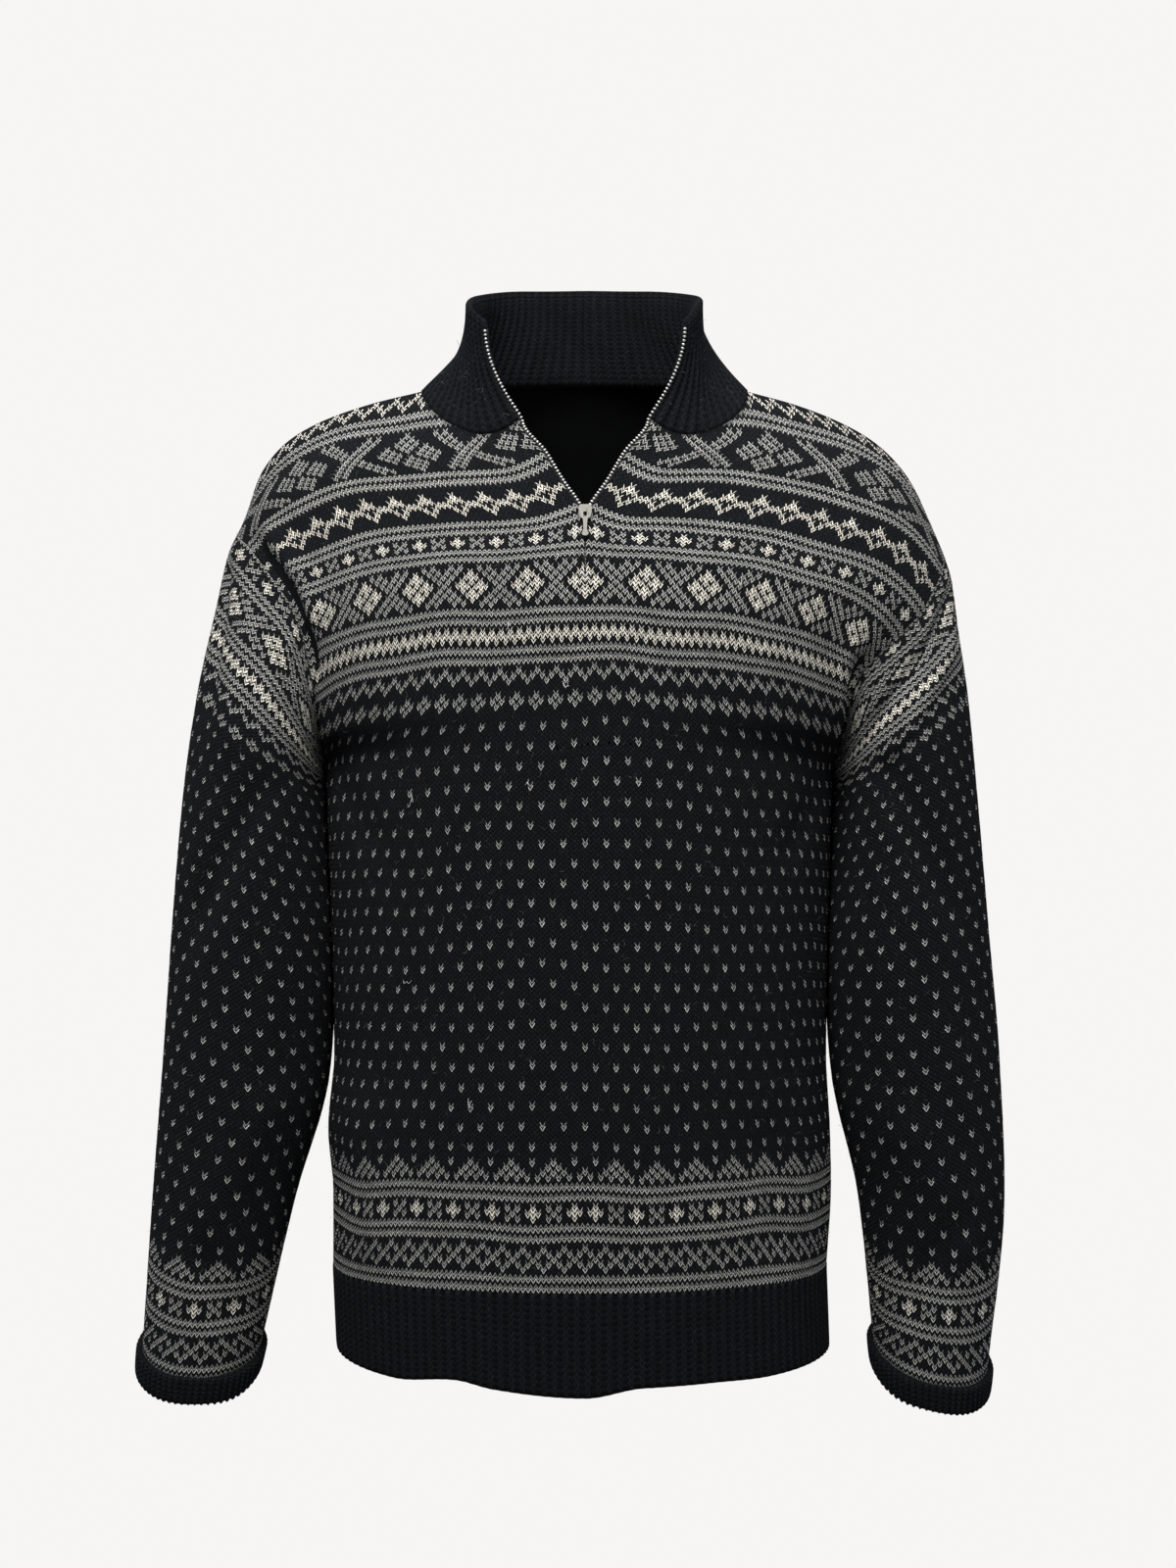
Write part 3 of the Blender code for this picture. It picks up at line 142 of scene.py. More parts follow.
# The side of each panel: armhole seam down to the armpit row, then the side seam that they share
SIDE_SEAM = (
    (26, 0.1960, -0.2860, 0.1870, -0.2860, 0.0000),
    (88, 0.1922, -0.5000, 0.1842, -0.5000, 0.0000),
    (105, 0.1975, -0.5624, 0.1878, -0.5624, 0.0000),
    (118, 0.1942, -0.6090, 0.1891, -0.6090, 0.0000),
    (134, 0.1948, -0.6680, 0.1862, -0.6680, 0.0000),
)
FRONT_SIDE = table(
    "row minus_x minus_z plus_x plus_z y",
    (-57, 0.2590, -0.0960, 0.2660, -0.1080, 0.0340),
    (-45, 0.2605, -0.1071, 0.2690, -0.1225, 0.0000),
    (-35, 0.2500, -0.1167, 0.2655, -0.1334, -0.0220),
    (-29, 0.2370, -0.1314, 0.2580, -0.1473, -0.0360),
    (-23, 0.2265, -0.1440, 0.2480, -0.1626, -0.0480),
    (-15, 0.2150, -0.1590, 0.2306, -0.1793, -0.0580),
    (-8, 0.2075, -0.1760, 0.2150, -0.1933, -0.0640),
    (0, 0.2025, -0.1991, 0.2010, -0.2091, -0.0640),
    (8, 0.1985, -0.2269, 0.1945, -0.2300, -0.0580),
    (17, 0.1965, -0.2560, 0.1905, -0.2570, -0.0400),
    *SIDE_SEAM,
)
BACK_SIDE = table(
    "row minus_x minus_z plus_x plus_z y",
    (-57, 0.2590, -0.0960, 0.2660, -0.1080, 0.0340),
    (-45, 0.2500, -0.1160, 0.2580, -0.1290, 0.0560),
    (-30, 0.2360, -0.1450, 0.2430, -0.1570, 0.0740),
    (-15, 0.2230, -0.1780, 0.2280, -0.1880, 0.0780),
    (0, 0.2120, -0.2120, 0.2120, -0.2180, 0.0700),
    (13, 0.2030, -0.2480, 0.1990, -0.2510, 0.0480),
    *SIDE_SEAM,
)
print("front:", len(FRONT["key"]), "rows of sizes in its middle,", len(FRONT_SIDE["key"]), "at its side")

# %% [markdown]
# ## Shoulder, sleeve and collar tables
# The shoulder line is where front and back are sewn together. A sleeve is a tube that narrows to the wrist
# and is flattened where it hangs beside the body, so each ring has an outer and an inner end. The collar is
# a strip of ribbing that stands up from the neck, so its upper edge is all that it needs.

# %% Shoulder, sleeve and collar tables
# The shoulder line from the foot of the collar, share 0, to the armhole, share 1
SHOULDER = table(
    "share minus_x minus_z plus_x plus_z y",
    (0.000, 0.1225, -0.0010, 0.1213, -0.0010, 0.0020),
    (0.210, 0.1600, -0.0100, 0.1580, -0.0110, 0.0040),
    (0.435, 0.1980, -0.0230, 0.1920, -0.0240, 0.0090),
    (0.620, 0.2265, -0.0395, 0.2200, -0.0400, 0.0160),
    (0.805, 0.2470, -0.0640, 0.2460, -0.0670, 0.0250),
    (1.000, 0.2590, -0.0960, 0.2660, -0.1080, 0.0340),
)

# Sleeve rings: the outer and the inner end of each, half its depth, its middle in y and how far its
# front hangs below its back
SLEEVE_MINUS = table(
    "row out_x out_z in_x in_z depth y drop",
    (0, 0.2590, -0.0960, 0.1960, -0.2860, 0.0720, 0.0060, 0.0000),
    (8, 0.2695, -0.1180, 0.1965, -0.2880, 0.0730, 0.0050, 0.0000),
    (20, 0.2775, -0.1560, 0.1965, -0.2900, 0.0740, 0.0040, 0.0000),
    (39, 0.2925, -0.2255, 0.1960, -0.2980, 0.0745, 0.0020, 0.0000),
    (60, 0.3035, -0.2950, 0.1940, -0.3420, 0.0740, 0.0000, 0.0020),
    (90, 0.3140, -0.3980, 0.1900, -0.4260, 0.0710, -0.0020, 0.0040),
    (120, 0.3230, -0.5020, 0.1965, -0.5180, 0.0660, -0.0020, 0.0070),
    (150, 0.3335, -0.6120, 0.2240, -0.6160, 0.0590, 0.0000, 0.0100),
    (184, 0.3440, -0.7360, 0.2535, -0.7380, 0.0490, 0.0000, 0.0130),
)
SLEEVE_PLUS = table(
    "row out_x out_z in_x in_z depth y drop",
    (0, 0.2660, -0.1080, 0.1870, -0.2860, 0.0720, 0.0060, 0.0000),
    (8, 0.2725, -0.1270, 0.1875, -0.2880, 0.0730, 0.0050, 0.0000),
    (20, 0.2780, -0.1600, 0.1875, -0.2900, 0.0740, 0.0040, 0.0000),
    (39, 0.2885, -0.2280, 0.1870, -0.2980, 0.0745, 0.0020, 0.0000),
    (60, 0.2960, -0.2970, 0.1860, -0.3420, 0.0740, 0.0000, 0.0020),
    (90, 0.3065, -0.4020, 0.1820, -0.4260, 0.0710, -0.0020, 0.0040),
    (120, 0.3170, -0.5060, 0.1890, -0.5180, 0.0660, -0.0020, 0.0070),
    (150, 0.3230, -0.6180, 0.2110, -0.6160, 0.0590, 0.0000, 0.0100),
    (184, 0.3120, -0.7520, 0.2245, -0.7340, 0.0490, 0.0000, 0.0130),
)

# The collar's upper edge from its front edge, share 0, to the middle of the back, share 1
COLLAR_TOP = table(
    "share minus_x plus_x y z",
    (0.00, 0.0745, 0.0740, -0.0530, 0.0470),
    (0.13, 0.0845, 0.0830, -0.0400, 0.0570),
    (0.30, 0.0870, 0.0855, -0.0120, 0.0645),
    (0.52, 0.0790, 0.0780, 0.0260, 0.0700),
    (0.76, 0.0470, 0.0470, 0.0600, 0.0740),
    (1.00, 0.0000, 0.0000, 0.0720, 0.0750),
)
print("sleeves end", SLEEVE_MINUS["out_z"][-1], "and", SLEEVE_PLUS["out_z"][-1], "m from the shoulder")

# %% [markdown]
# ## Folds
# Thick wool hangs in few soft folds: beside the armholes, under the arms and above the hem.

# %% Folds of the cloth
# A fold is a soft ridge (rise above 0) or trough from one point of a piece to another.
# On the panels the share is negative on the -X side.
# On the sleeves it is the share of the way round from the top by the front, row.
FRONT_FOLDS = table(
    "rise wide share_a row_a share_b row_b",
    (0.0060, 0.0110, -0.905, -34, -0.925, -6),
    (-0.0060, 0.0090, -0.965, -32, -0.975, 4),
    (0.0050, 0.0120, 0.900, -8, 0.930, 16),
    (-0.0040, 0.0100, 0.965, -6, 0.985, 20),
    (-0.0030, 0.0160, -0.880, 20, -0.600, 46),
    (-0.0030, 0.0160, 0.880, 22, 0.620, 46),
    (0.0030, 0.0220, -0.720, 96, -0.640, 134),
    (-0.0030, 0.0200, 0.560, 100, 0.620, 134),
)
BACK_FOLDS = table(
    "rise wide share_a row_a share_b row_b",
    (0.0050, 0.0130, -0.880, -30, -0.910, 10),
    (-0.0050, 0.0120, 0.900, -24, 0.930, 12),
    (-0.0040, 0.0220, -0.820, 30, -0.300, 60),
    (-0.0040, 0.0220, 0.840, 34, 0.320, 66),
    (0.0030, 0.0240, 0.400, 92, 0.480, 134),
)
MINUS_FOLDS = table(
    "rise wide share_a row_a share_b row_b",
    (-0.0060, 0.0100, 0.070, 6, 0.120, 44),
    (0.0040, 0.0130, 0.150, 10, 0.210, 44),
    (-0.0050, 0.0150, 0.300, 44, 0.120, 92),
    (-0.0035, 0.0150, 0.700, 30, 0.830, 80),
    (0.0030, 0.0200, 0.320, 120, 0.200, 156),
    (-0.0030, 0.0150, 0.180, 150, 0.330, 172),
)
PLUS_FOLDS = table(
    "rise wide share_a row_a share_b row_b",
    (-0.0055, 0.0100, 0.120, 8, 0.340, 26),
    (0.0045, 0.0120, 0.100, 20, 0.300, 36),
    (-0.0045, 0.0140, 0.330, 34, 0.160, 84),
    (-0.0035, 0.0150, 0.720, 26, 0.850, 74),
    (0.0030, 0.0200, 0.300, 126, 0.180, 160),
    (-0.0030, 0.0150, 0.200, 146, 0.340, 170),
)
print("folds:", *(len(t["key"]) for t in (FRONT_FOLDS, BACK_FOLDS, MINUS_FOLDS, PLUS_FOLDS)))

# %% [markdown]
# ## Surfaces of the panels
# A knitted row runs across the panel and bends back to the side seam. It is worked out from its two ends,
# then spaced evenly by length, because stitches of one row are equally wide.

# %% Rows of a panel
def half_rows(middle, edge, side, rows, shares):
    """Points of whole rows from the middle (share 0) to the side (share 1), evenly by length."""
    rows = np.asarray(rows, float)
    t = np.linspace(0, 1, 49)
    wrap = along(middle, "wrap", rows)[:, None]
    gap = along(middle, "gap", rows)[:, None]
    across = np.sin(t * wrap) / np.sin(wrap)
    inward = (1 - np.cos(t * wrap)) / (1 - np.cos(wrap))
    end_x = along(edge, side + "_x", rows)[:, None]
    x = gap + (end_x - gap) * across
    y0 = along(middle, "y", rows)[:, None]
    y = y0 + (along(edge, "y", rows)[:, None] - y0) * inward
    z0 = along(middle, "z", rows)[:, None]
    early = along(middle, "early", rows)[:, None]
    fall = early * across**2 + (1 - early) * across**8
    z = z0 + (along(edge, side + "_z", rows)[:, None] - z0) * fall
    near = np.clip(1 - (x - gap) / LIFT_WIDTH, 0, 1) ** 2
    z = z + along(middle, "lift", rows)[:, None] * near
    dense = np.stack([SIGN[side] * x, y, z], 2)
    reach = np.linalg.norm(np.diff(dense, axis=1), axis=2).cumsum(1)
    reach = np.concatenate([np.zeros((len(rows), 1)), reach], 1)
    found = np.empty((len(rows), len(shares), 3))
    for r in range(len(rows)):
        for axis in range(3):
            found[r, :, axis] = np.interp(np.asarray(shares) * reach[r, -1], reach[r], dense[r, :, axis])
    return found


def shoulder(side, shares):
    """Points of the shoulder line at shares of a panel's half."""
    at = np.clip((np.asarray(shares) - NECK_SHARE) / (1 - NECK_SHARE), 0, 1)
    x = along(SHOULDER, side + "_x", at)
    y = along(SHOULDER, "y", at)
    z = along(SHOULDER, side + "_z", at)
    return np.stack([SIGN[side] * x, y, z], 1)


print("shoulder line ends at", shoulder("minus", [1.0])[0].round(3), shoulder("plus", [1.0])[0].round(3))

# %% Directions and folds
def unit(v):
    return v / np.maximum(np.linalg.norm(v, axis=-1, keepdims=True), 1e-12)


def lengths(path):
    """How far along a path each of its points lies."""
    return np.concatenate([[0], np.linalg.norm(np.diff(path, axis=0), axis=1).cumsum()])


def on_path(values, reach, at):
    """A path's points, or its directions, read at distances along it."""
    return np.stack([np.interp(at, reach, values[:, axis]) for axis in range(3)], 1)


def normals(grid):
    """Unit normals of a grid of points, along the cross product of its two directions."""
    return unit(np.cross(np.gradient(grid, axis=0), np.gradient(grid, axis=1)))


def fold_rise(folds, shares, rows, width):
    """Height of all the folds at points of a piece whose share 1 is `width` metres long."""
    total = np.zeros(np.broadcast(shares, rows).shape)
    ends = zip(*(folds[n] for n in ("rise", "wide", "share_a", "row_a", "share_b", "row_b")))
    for rise, wide, share_a, row_a, share_b, row_b in ends:
        ax, ay, bx, by = share_a * width, row_a * ROW, share_b * width, row_b * ROW
        px, py = shares * width - ax, rows * ROW - ay
        dx, dy = bx - ax, by - ay
        length = np.hypot(dx, dy)
        t = (px * dx + py * dy) / length**2
        off = (px * dy - py * dx) / length
        ends_at = np.exp(-np.clip(np.abs(t - 0.5) - 0.32, 0, None) ** 2 / 0.045)
        total = total + rise * np.exp(-((off / wide) ** 2)) * ends_at
    return total


highest = fold_rise(FRONT_FOLDS, np.array([-0.915]), np.array([-20.0]), HALF_PANEL)
print("highest fold of the front rises", highest.round(4), "m")

# %% Panel surface
ROWS = np.arange(TOP_ROW, LAST_ROW + 1)


def neck_row(face, share):
    """The row at which a panel stops at the neck, for a share of its half."""
    middle = NECK_ROW if face == "front" else BACK_NECK_ROW
    power = 2.4 if face == "front" else 2.0
    part = np.clip(np.abs(share) / NECK_SHARE, 0, 1)
    return middle + (TOP_ROW - middle) * part**power


def lattice(face, side, shares):
    """Every whole row of half a panel at the given shares, with its folds; negative shares are on -X."""
    middle, edge = (FRONT, FRONT_SIDE) if face == "front" else (BACK, BACK_SIDE)
    grid = half_rows(middle, edge, side, ROWS, shares)
    miss = shoulder(side, shares) - grid[0]
    inside = np.asarray(shares) < NECK_SHARE
    if inside.any():
        start = half_rows(middle, edge, side, ROWS[:1], [NECK_SHARE])[0, 0]
        part = (np.asarray(shares)[inside] / NECK_SHARE)[:, None] ** 2
        miss[inside] = (shoulder(side, [NECK_SHARE])[0] - start) * part
    fade = np.clip(1 - (ROWS - TOP_ROW) / SHOULDER_ROWS, 0, 1)[:, None, None] ** 2
    grid = grid + miss * fade
    signed = np.asarray(shares) * SIGN[side]
    folds = FRONT_FOLDS if face == "front" else BACK_FOLDS
    calm = np.clip((1 - np.asarray(shares)) / 0.03, 0, 1)
    calm_rows = np.clip((ROWS - TOP_ROW) / 10.0, 0, 1) * np.clip((LAST_ROW - ROWS) / 8.0, 0, 1)
    rise = fold_rise(folds, signed[None, :], ROWS[:, None], HALF_PANEL) * calm * calm_rows[:, None]
    return grid + normals(grid) * (SIGN[side] * FACING[face]) * rise[:, :, None]


def at_rows(grid, rows):
    """Points of a lattice at rows given for each of its columns (rows by columns)."""
    place = np.clip(rows - TOP_ROW, 0, len(ROWS) - 1.000001)
    low = place.astype(int)
    part = (place - low)[:, :, None]
    cols = np.arange(grid.shape[1])[None, :]
    return grid[low, cols] * (1 - part) + grid[low + 1, cols] * part


print("front half:", lattice("front", "plus", np.linspace(0, 1, 5)).shape, "rows, stitches, axes")

# %% [markdown]
# ## Surface of a sleeve
# A sleeve's cap takes the form of the armhole that it is sewn into, and turns to a plain oval further down.
# Under the arm it lies against the body, where it keeps clear by a fraction of a millimetre.

# %% Sleeve surface
def ellipse_side(side, y, z):
    """Half width of the body at a depth and height, for what lies against it."""
    row = np.interp(-z, -FRONT_SIDE[side + "_z"], FRONT_SIDE["key"])
    back_row = np.interp(-z, -BACK_SIDE[side + "_z"], BACK_SIDE["key"])
    half = np.where(y < 0, along(FRONT_SIDE, side + "_x", row), along(BACK_SIDE, side + "_x", back_row))
    part = np.clip(y / np.where(y < 0, along(FRONT, "y", row), along(BACK, "y", row)), -1, 1)
    return half * np.sqrt(np.clip(1 - part**2, 0, 1))


def armhole(side, shares):
    """Points of the armhole at shares of the way round, from its top by the front."""
    front = half_rows(FRONT, FRONT_SIDE, side, np.arange(TOP_ROW, ARMPIT_ROW + 1), [1.0])[:, 0]
    back = half_rows(BACK, BACK_SIDE, side, np.arange(TOP_ROW, ARMPIT_ROW + 1), [1.0])[:, 0]
    found = np.empty((len(shares), 3))
    for edge, part in ((front, np.clip(shares, 0, 0.5) * 2), (back, (1 - np.clip(shares, 0.5, 1)) * 2)):
        reach = lengths(edge)
        here = (shares <= 0.5) if edge is front else (shares > 0.5)
        found[here] = on_path(edge, reach, part[here] * reach[-1])
    return found


def sleeve_normals(side, grid):
    """Outward normals of a sleeve's points, whose last column is its first one again."""
    n = normals(np.concatenate([grid[:, -2:-1], grid, grid[:, 1:2]], 1))[:, 1:-1]
    return n * -SIGN[side]


def sleeve_rings(side, rows, shares):
    """Plain oval rings of a sleeve, before it is fitted to the armhole."""
    tab = SLEEVE_MINUS if side == "minus" else SLEEVE_PLUS
    turn = 2 * np.pi * shares[None, :]
    at = {n: along(tab, n, rows)[:, None] for n in ("out_x", "out_z", "in_x", "in_z", "depth", "y", "drop")}
    x = (at["out_x"] + at["in_x"]) / 2 + (at["out_x"] - at["in_x"]) / 2 * np.cos(turn)
    z = (at["out_z"] + at["in_z"]) / 2 + (at["out_z"] - at["in_z"]) / 2 * np.cos(turn)
    y = at["y"] - at["depth"] * np.sin(turn)
    z = z - at["drop"] * np.sin(turn)
    return np.stack([SIGN[side] * x, y, z], 2)


def sleeve_grid(side, rows, shares):
    """Points of a sleeve at rows and shares of the way round, from the top by the front."""
    rows = np.asarray(rows, float)
    shares = np.asarray(shares, float)
    fade = np.clip(1 - rows / FITTED_ROWS, 0, 1)
    fade = (fade * fade * (3 - 2 * fade))[:, None, None]
    grid = sleeve_rings(side, rows, shares)
    grid = grid + (armhole(side, shares) - sleeve_rings(side, np.zeros(1), shares)[0])[None] * fade
    folds = MINUS_FOLDS if side == "minus" else PLUS_FOLDS
    calm = np.clip(rows / 8.0, 0, 1) * np.clip((SLEEVE_ROWS - rows) / 10.0, 0, 1)
    rise = fold_rise(folds, shares[None, :], rows[:, None], SLEEVE_ROUND) * calm[:, None]
    rise = rise + fold_rise(folds, shares[None, :] - 1, rows[:, None], SLEEVE_ROUND) * calm[:, None]
    grid = grid + sleeve_normals(side, grid) * rise[:, :, None]
    # The sleeve lies against the body without touching it.
    space = ARMPIT_SPACE[0] + (ARMPIT_SPACE[1] - ARMPIT_SPACE[0]) * np.clip(rows / 6.0, 0, 1)[:, None]
    least = ellipse_side(side, grid[:, :, 1], grid[:, :, 2]) + space
    close = (grid[:, :, 2] < ARMPIT_TOP_Z) & (rows[:, None] > 0)
    size = np.abs(grid[:, :, 0])
    size = np.where(close, np.maximum(size, least), size)
    grid[:, :, 0] = size * SIGN[side]
    return grid


wrist = sleeve_grid("minus", [SLEEVE_ROWS - 1, SLEEVE_ROWS], np.linspace(0, 1, 60))[1]
print("wrist of the right sleeve:", np.ptp(wrist, axis=0).round(3))

# %% [markdown]
# ## The chart of the knit
# Traditional bands, given as a chart: `.` is charcoal, `g` grey-beige and `c` cream. A line is one knitted
# row, read from the middle of the panel outwards and mirrored about it. A band starts at its first row and
# its lines repeat across; `start` is the stitch that the line's first sign stands on.

# %% Bands and lice
PAIR = ("g", ".", "g")
PLUS_AND_CROSS = ("..c..g.g", ".ccc..g.", "..c..g.g")
BANDS = (
    (-56, 0, ("c...", ".c.c", "..c.")),
    (-52, 0, PAIR),
    (-48, 0, (
        "g.....g.g.......g.g.....",
        ".g.....g.g.....g.g.....g",
        "g.g.....g.g...g.g.....g.",
        ".g..g....g.g.g.g....g..g",
        "g..g.g....g.g.g....g.g..",
        "..g.g.g....g.g....g.g.g.",
        "g..g.g....g.g.g....g.g..",
        ".g..g....g.g.g.g....g..g",
        "g.g.....g.g...g.g.....g.",
        ".g.....g.g.....g.g.....g",
        "g.....g.g.......g.g.....",
    )),
    (-36, 0, PAIR),
    (-31, 2, ("..c...", ".ccc..", "c...cc", ".c.c..", "..c...")),
    (-24, 0, PAIR),
    (-20, 0, PLUS_AND_CROSS),
    (-16, 0, PAIR),
    (-12, 0, (
        "..g.g...g.g.",
        "c..g.g.g.g..",
        "cc..g.g.g..c",
        "c.c..g.g..c.",
        ".ccc..g..ccc",
        "c.c..g.g..c.",
        "cc..g.g.g..c",
        "c..g.g.g.g..",
        "..g.g...g.g.",
    )),
    (-2, 0, PAIR),
    (2, 0, ("c.", "cc", ".c")),
    (6, 0, PAIR),
    (10, 0, ("..g.", ".g.g", "g...")),
    (15, 0, ("..g.", ".g.g", "..g.")),
    (108, 0, ("..g...g.", ".....g.g", "g...g.g.", ".g.g.g.g")),
    (113, 0, PAIR),
    (117, 0, PLUS_AND_CROSS),
    (121, 0, PAIR),
    (125, 0, ("g...", ".g.g", "..g.", ".g.g", "g...")),
    (131, 0, PAIR),
)
LICE_ROWS = (21, 105)  # single light stitches between these rows, every fourth row and stitch
SLEEVE_TOP = 22        # a sleeve's row this far down has the body's row 0
SLEEVE_FOOT = 50       # and its lowest bands lie this far below the body's
SLEEVE_CHANGE = 100    # from this row of a sleeve on, its lower bands count


def yarn_at(stitch, row):
    """0 charcoal, 1 grey-beige or 2 cream for each stitch of each row; stitches count from the middle."""
    stitch, row = np.broadcast_arrays(np.abs(stitch), row)
    found = np.zeros(stitch.shape)
    for first, start, lines in BANDS:
        for k, line in enumerate(lines):
            code = np.array([".gc".index(sign) for sign in line])
            here = row == first + k
            found[here] = code[(stitch[here] - start) % len(line)]
    lice = (row >= LICE_ROWS[0]) & (row <= LICE_ROWS[1]) & ((row - LICE_ROWS[0]) % 4 == 0)
    turn = ((row - LICE_ROWS[0]) // 4 % 2) * 2
    found[lice & ((stitch + turn) % 4 == 0)] = 1
    return found


print("chart:", len(BANDS), "bands;", "".join(".gc"[int(v)] for v in yarn_at(np.arange(-24, 25), -8)))

# %% [markdown]
# ## Stitches
# Knitting is one yarn drawn through itself, loop by loop, and each loop shows as a V of two legs. Four
# columns of points cross it: its edge, a leg, its middle and the other leg. The legs stand proud, and a
# row's line drops in the middle of each stitch and climbs at its edges.

# %% Laying out stitches
STITCH_COLUMNS = 4
ROW_DROP = np.array([0.45, 0.0, -0.45, 0.0])             # by column, from the stitch's middle, in rows
RELIEF = np.array([-0.00012, 0.00032, -0.00038, 0.00032])
HALF_STITCHES = 68.5   # of a panel, from its middle to its side seam
HALF_COLUMNS = int(HALF_STITCHES * STITCH_COLUMNS)
INNER_STEP = 16        # columns of the outside for each one of the plain inside
SLEEVE_STITCHES = ((0, 40, SLEEVE_ROWS), (104.0, 104.0, 76.0))
CUT_ROW = 26           # a panel is drawn as two meshes that meet here
YARN_UNEVEN = 0.00006  # how much the yarn's height varies from point to point


def tension(columns, lines, seed):
    """Slow unevenness of the knit, in rows: a few long waves of random length and place."""
    rng = np.random.RandomState(seed)
    total = np.zeros(np.broadcast(columns, lines).shape)
    for _ in range(7):
        a, b, phase = rng.uniform(0.02, 0.13), rng.uniform(0.03, 0.16), rng.uniform(0, 6.28)
        total = total + np.sin(columns * a * rng.choice([-1, 1]) + lines * b + phase)
    return total * 0.055


def wander(stitch, row, last_row, seed):
    """Slow waves of worn and washed rows, in rows; they end at the seams above and below."""
    a, b, c = np.random.RandomState(seed).uniform(0, 2 * np.pi, 3)
    waves = (0.30 * np.sin(stitch / 9.5 + row / 31 + a) + 0.24 * np.sin(stitch / 5.1 - row / 19 + b)
             + 0.14 * np.sin(stitch / 3.1 + row / 13 + c))
    return waves * np.clip((last_row - row) / 8.0, 0, 1)


def stitch_places(across, down):
    """For the wool: each point's stitch across and its row line down."""
    places = np.zeros((len(down), len(across), 3))
    places[:, :, 0] = across[None, :]
    places[:, :, 1] = down[:, None]
    return places


def span_faces(numbers):
    """Quads between neighbouring lines and columns of a grid of point numbers."""
    corners = [numbers[:-1, :-1], numbers[1:, :-1], numbers[1:, 1:], numbers[:-1, 1:]]
    return np.stack(corners, 2).reshape(-1, 4)


# %% Making a mesh
def cleaned(blocks):
    """Blocks of faces without repeated corners; faces that have none left with an area are dropped."""
    kept = []
    for corners, yarn in blocks:
        double = (corners == np.roll(corners, -1, 1)).any(1)
        if corners.shape[1] == 4:
            double |= (corners[:, 0] == corners[:, 2]) | (corners[:, 1] == corners[:, 3])
        kept.append((corners[~double], yarn[~double]))
        by_size = {}
        for face, y in zip(corners[double], yarn[double]):
            face = [v for i, v in enumerate(face) if v != face[i - 1]]
            if len(face) > 2 and len(set(face)) == len(face):
                by_size.setdefault(len(face), []).append((face, y))
        for found in by_size.values():
            kept.append((np.array([f for f, _ in found]), np.array([y for _, y in found])))
    return [k for k in kept if len(k[0])]


def mesh_object(name, points, blocks, made_of, stitch=None, facing=None, weld=True):
    """A smooth mesh from blocks of (faces, yarn), closed ones turned to face outward."""
    points = np.asarray(points, float) + 0.0
    blocks = [(corners, np.broadcast_to(np.asarray(yarn, float), len(corners))) for corners, yarn in blocks]
    if weld:
        _, first, index = np.unique(np.round(points / 2e-7).astype(np.int64), axis=0,
                                    return_index=True, return_inverse=True)
        index = index.ravel()
        blocks = cleaned([(index[corners], yarn) for corners, yarn in blocks])
        if facing is not None:
            summed = np.zeros((len(first), 3))
            np.add.at(summed, index, facing)
            facing = unit(summed)
        points = points[first]
        stitch = None if stitch is None else stitch[first]
    volume = 0.0
    for corners, _ in blocks:
        for i in range(1, corners.shape[1] - 1):
            a, b, c = points[corners[:, 0]], points[corners[:, i]], points[corners[:, i + 1]]
            volume += np.einsum("ij,ij->", a, np.cross(b, c))
    if volume < 0:
        blocks = [(corners[:, ::-1], yarn) for corners, yarn in blocks]
    used = np.zeros(len(points), bool)
    for corners, _ in blocks:
        used[corners.ravel()] = True
    new_number = np.cumsum(used) - 1
    sizes = np.concatenate([np.full(len(c), c.shape[1]) for c, _ in blocks])
    loops = np.concatenate([new_number[c].ravel() for c, _ in blocks]).astype(np.int32)
    mesh = bpy.data.meshes.new(name)
    mesh.vertices.add(int(used.sum()))
    mesh.vertices.foreach_set("co", points[used].ravel())
    mesh.loops.add(len(loops))
    mesh.loops.foreach_set("vertex_index", loops)
    mesh.polygons.add(len(sizes))
    mesh.polygons.foreach_set("loop_start", (np.cumsum(sizes) - sizes).astype(np.int32))
    mesh.update(calc_edges=True)
    mesh.shade_smooth()
    yarns = mesh.attributes.new("yarn", "FLOAT", "FACE")
    yarns.data.foreach_set("value", np.concatenate([y for _, y in blocks]).astype(np.float32))
    if stitch is not None:
        place = mesh.attributes.new("stitch", "FLOAT_VECTOR", "POINT")
        place.data.foreach_set("vector", stitch[used].astype(np.float32).ravel())
    if facing is not None:
        mesh.normals_split_custom_set_from_vertices(facing[used].astype(np.float32))
    mesh.materials.append(made_of)
    made = bpy.data.objects.new(name, mesh)
    bpy.context.scene.collection.objects.link(made)
    print(f"{name}: {int((sizes - 2).sum())} triangles")
    return made


folded = cleaned([(np.array([[0, 1, 1, 2]]), np.zeros(1))])
print("a face with a repeated corner keeps the corners", folded[0][0].tolist())

# %% The inside and the rims
def floats(yarn):
    """On the inside a patterned row shows its strands, muted and evenly all along the row."""
    return np.repeat(yarn.mean(1, keepdims=True) * 0.22, yarn.shape[1], 1)


def rim(outer_edge, inner_edge, step):
    """Faces between a fine edge and a coarse one, given as point numbers in the same order."""
    blocks = []
    for start in range(0, len(outer_edge) - 1, step):
        part = outer_edge[start:start + step + 1]
        k = start // step
        blocks.append((np.array([[*part, inner_edge[k + 1], inner_edge[k]]]), 0.0))
    return blocks


print("strands behind a row with half its stitches light:", floats(np.array([[0, 1, 0, 1]])).round(2))

# %% [markdown]
# ## Wool
# The yarn is dyed in the fibre, so it is never one flat colour: fibres of other shades run through it and
# each leg of a stitch has its own tone. Painted shade darkens the gaps between the legs and the grooves of
# the ribbing. The colours are all worked out from noise and from each face's yarn, so no picture is needed.

# %% Parts of a material
def material_base(name):
    made = bpy.data.materials.new(name)
    made.use_nodes = True
    tree = made.node_tree
    return made, tree, tree.nodes["Principled BSDF"]


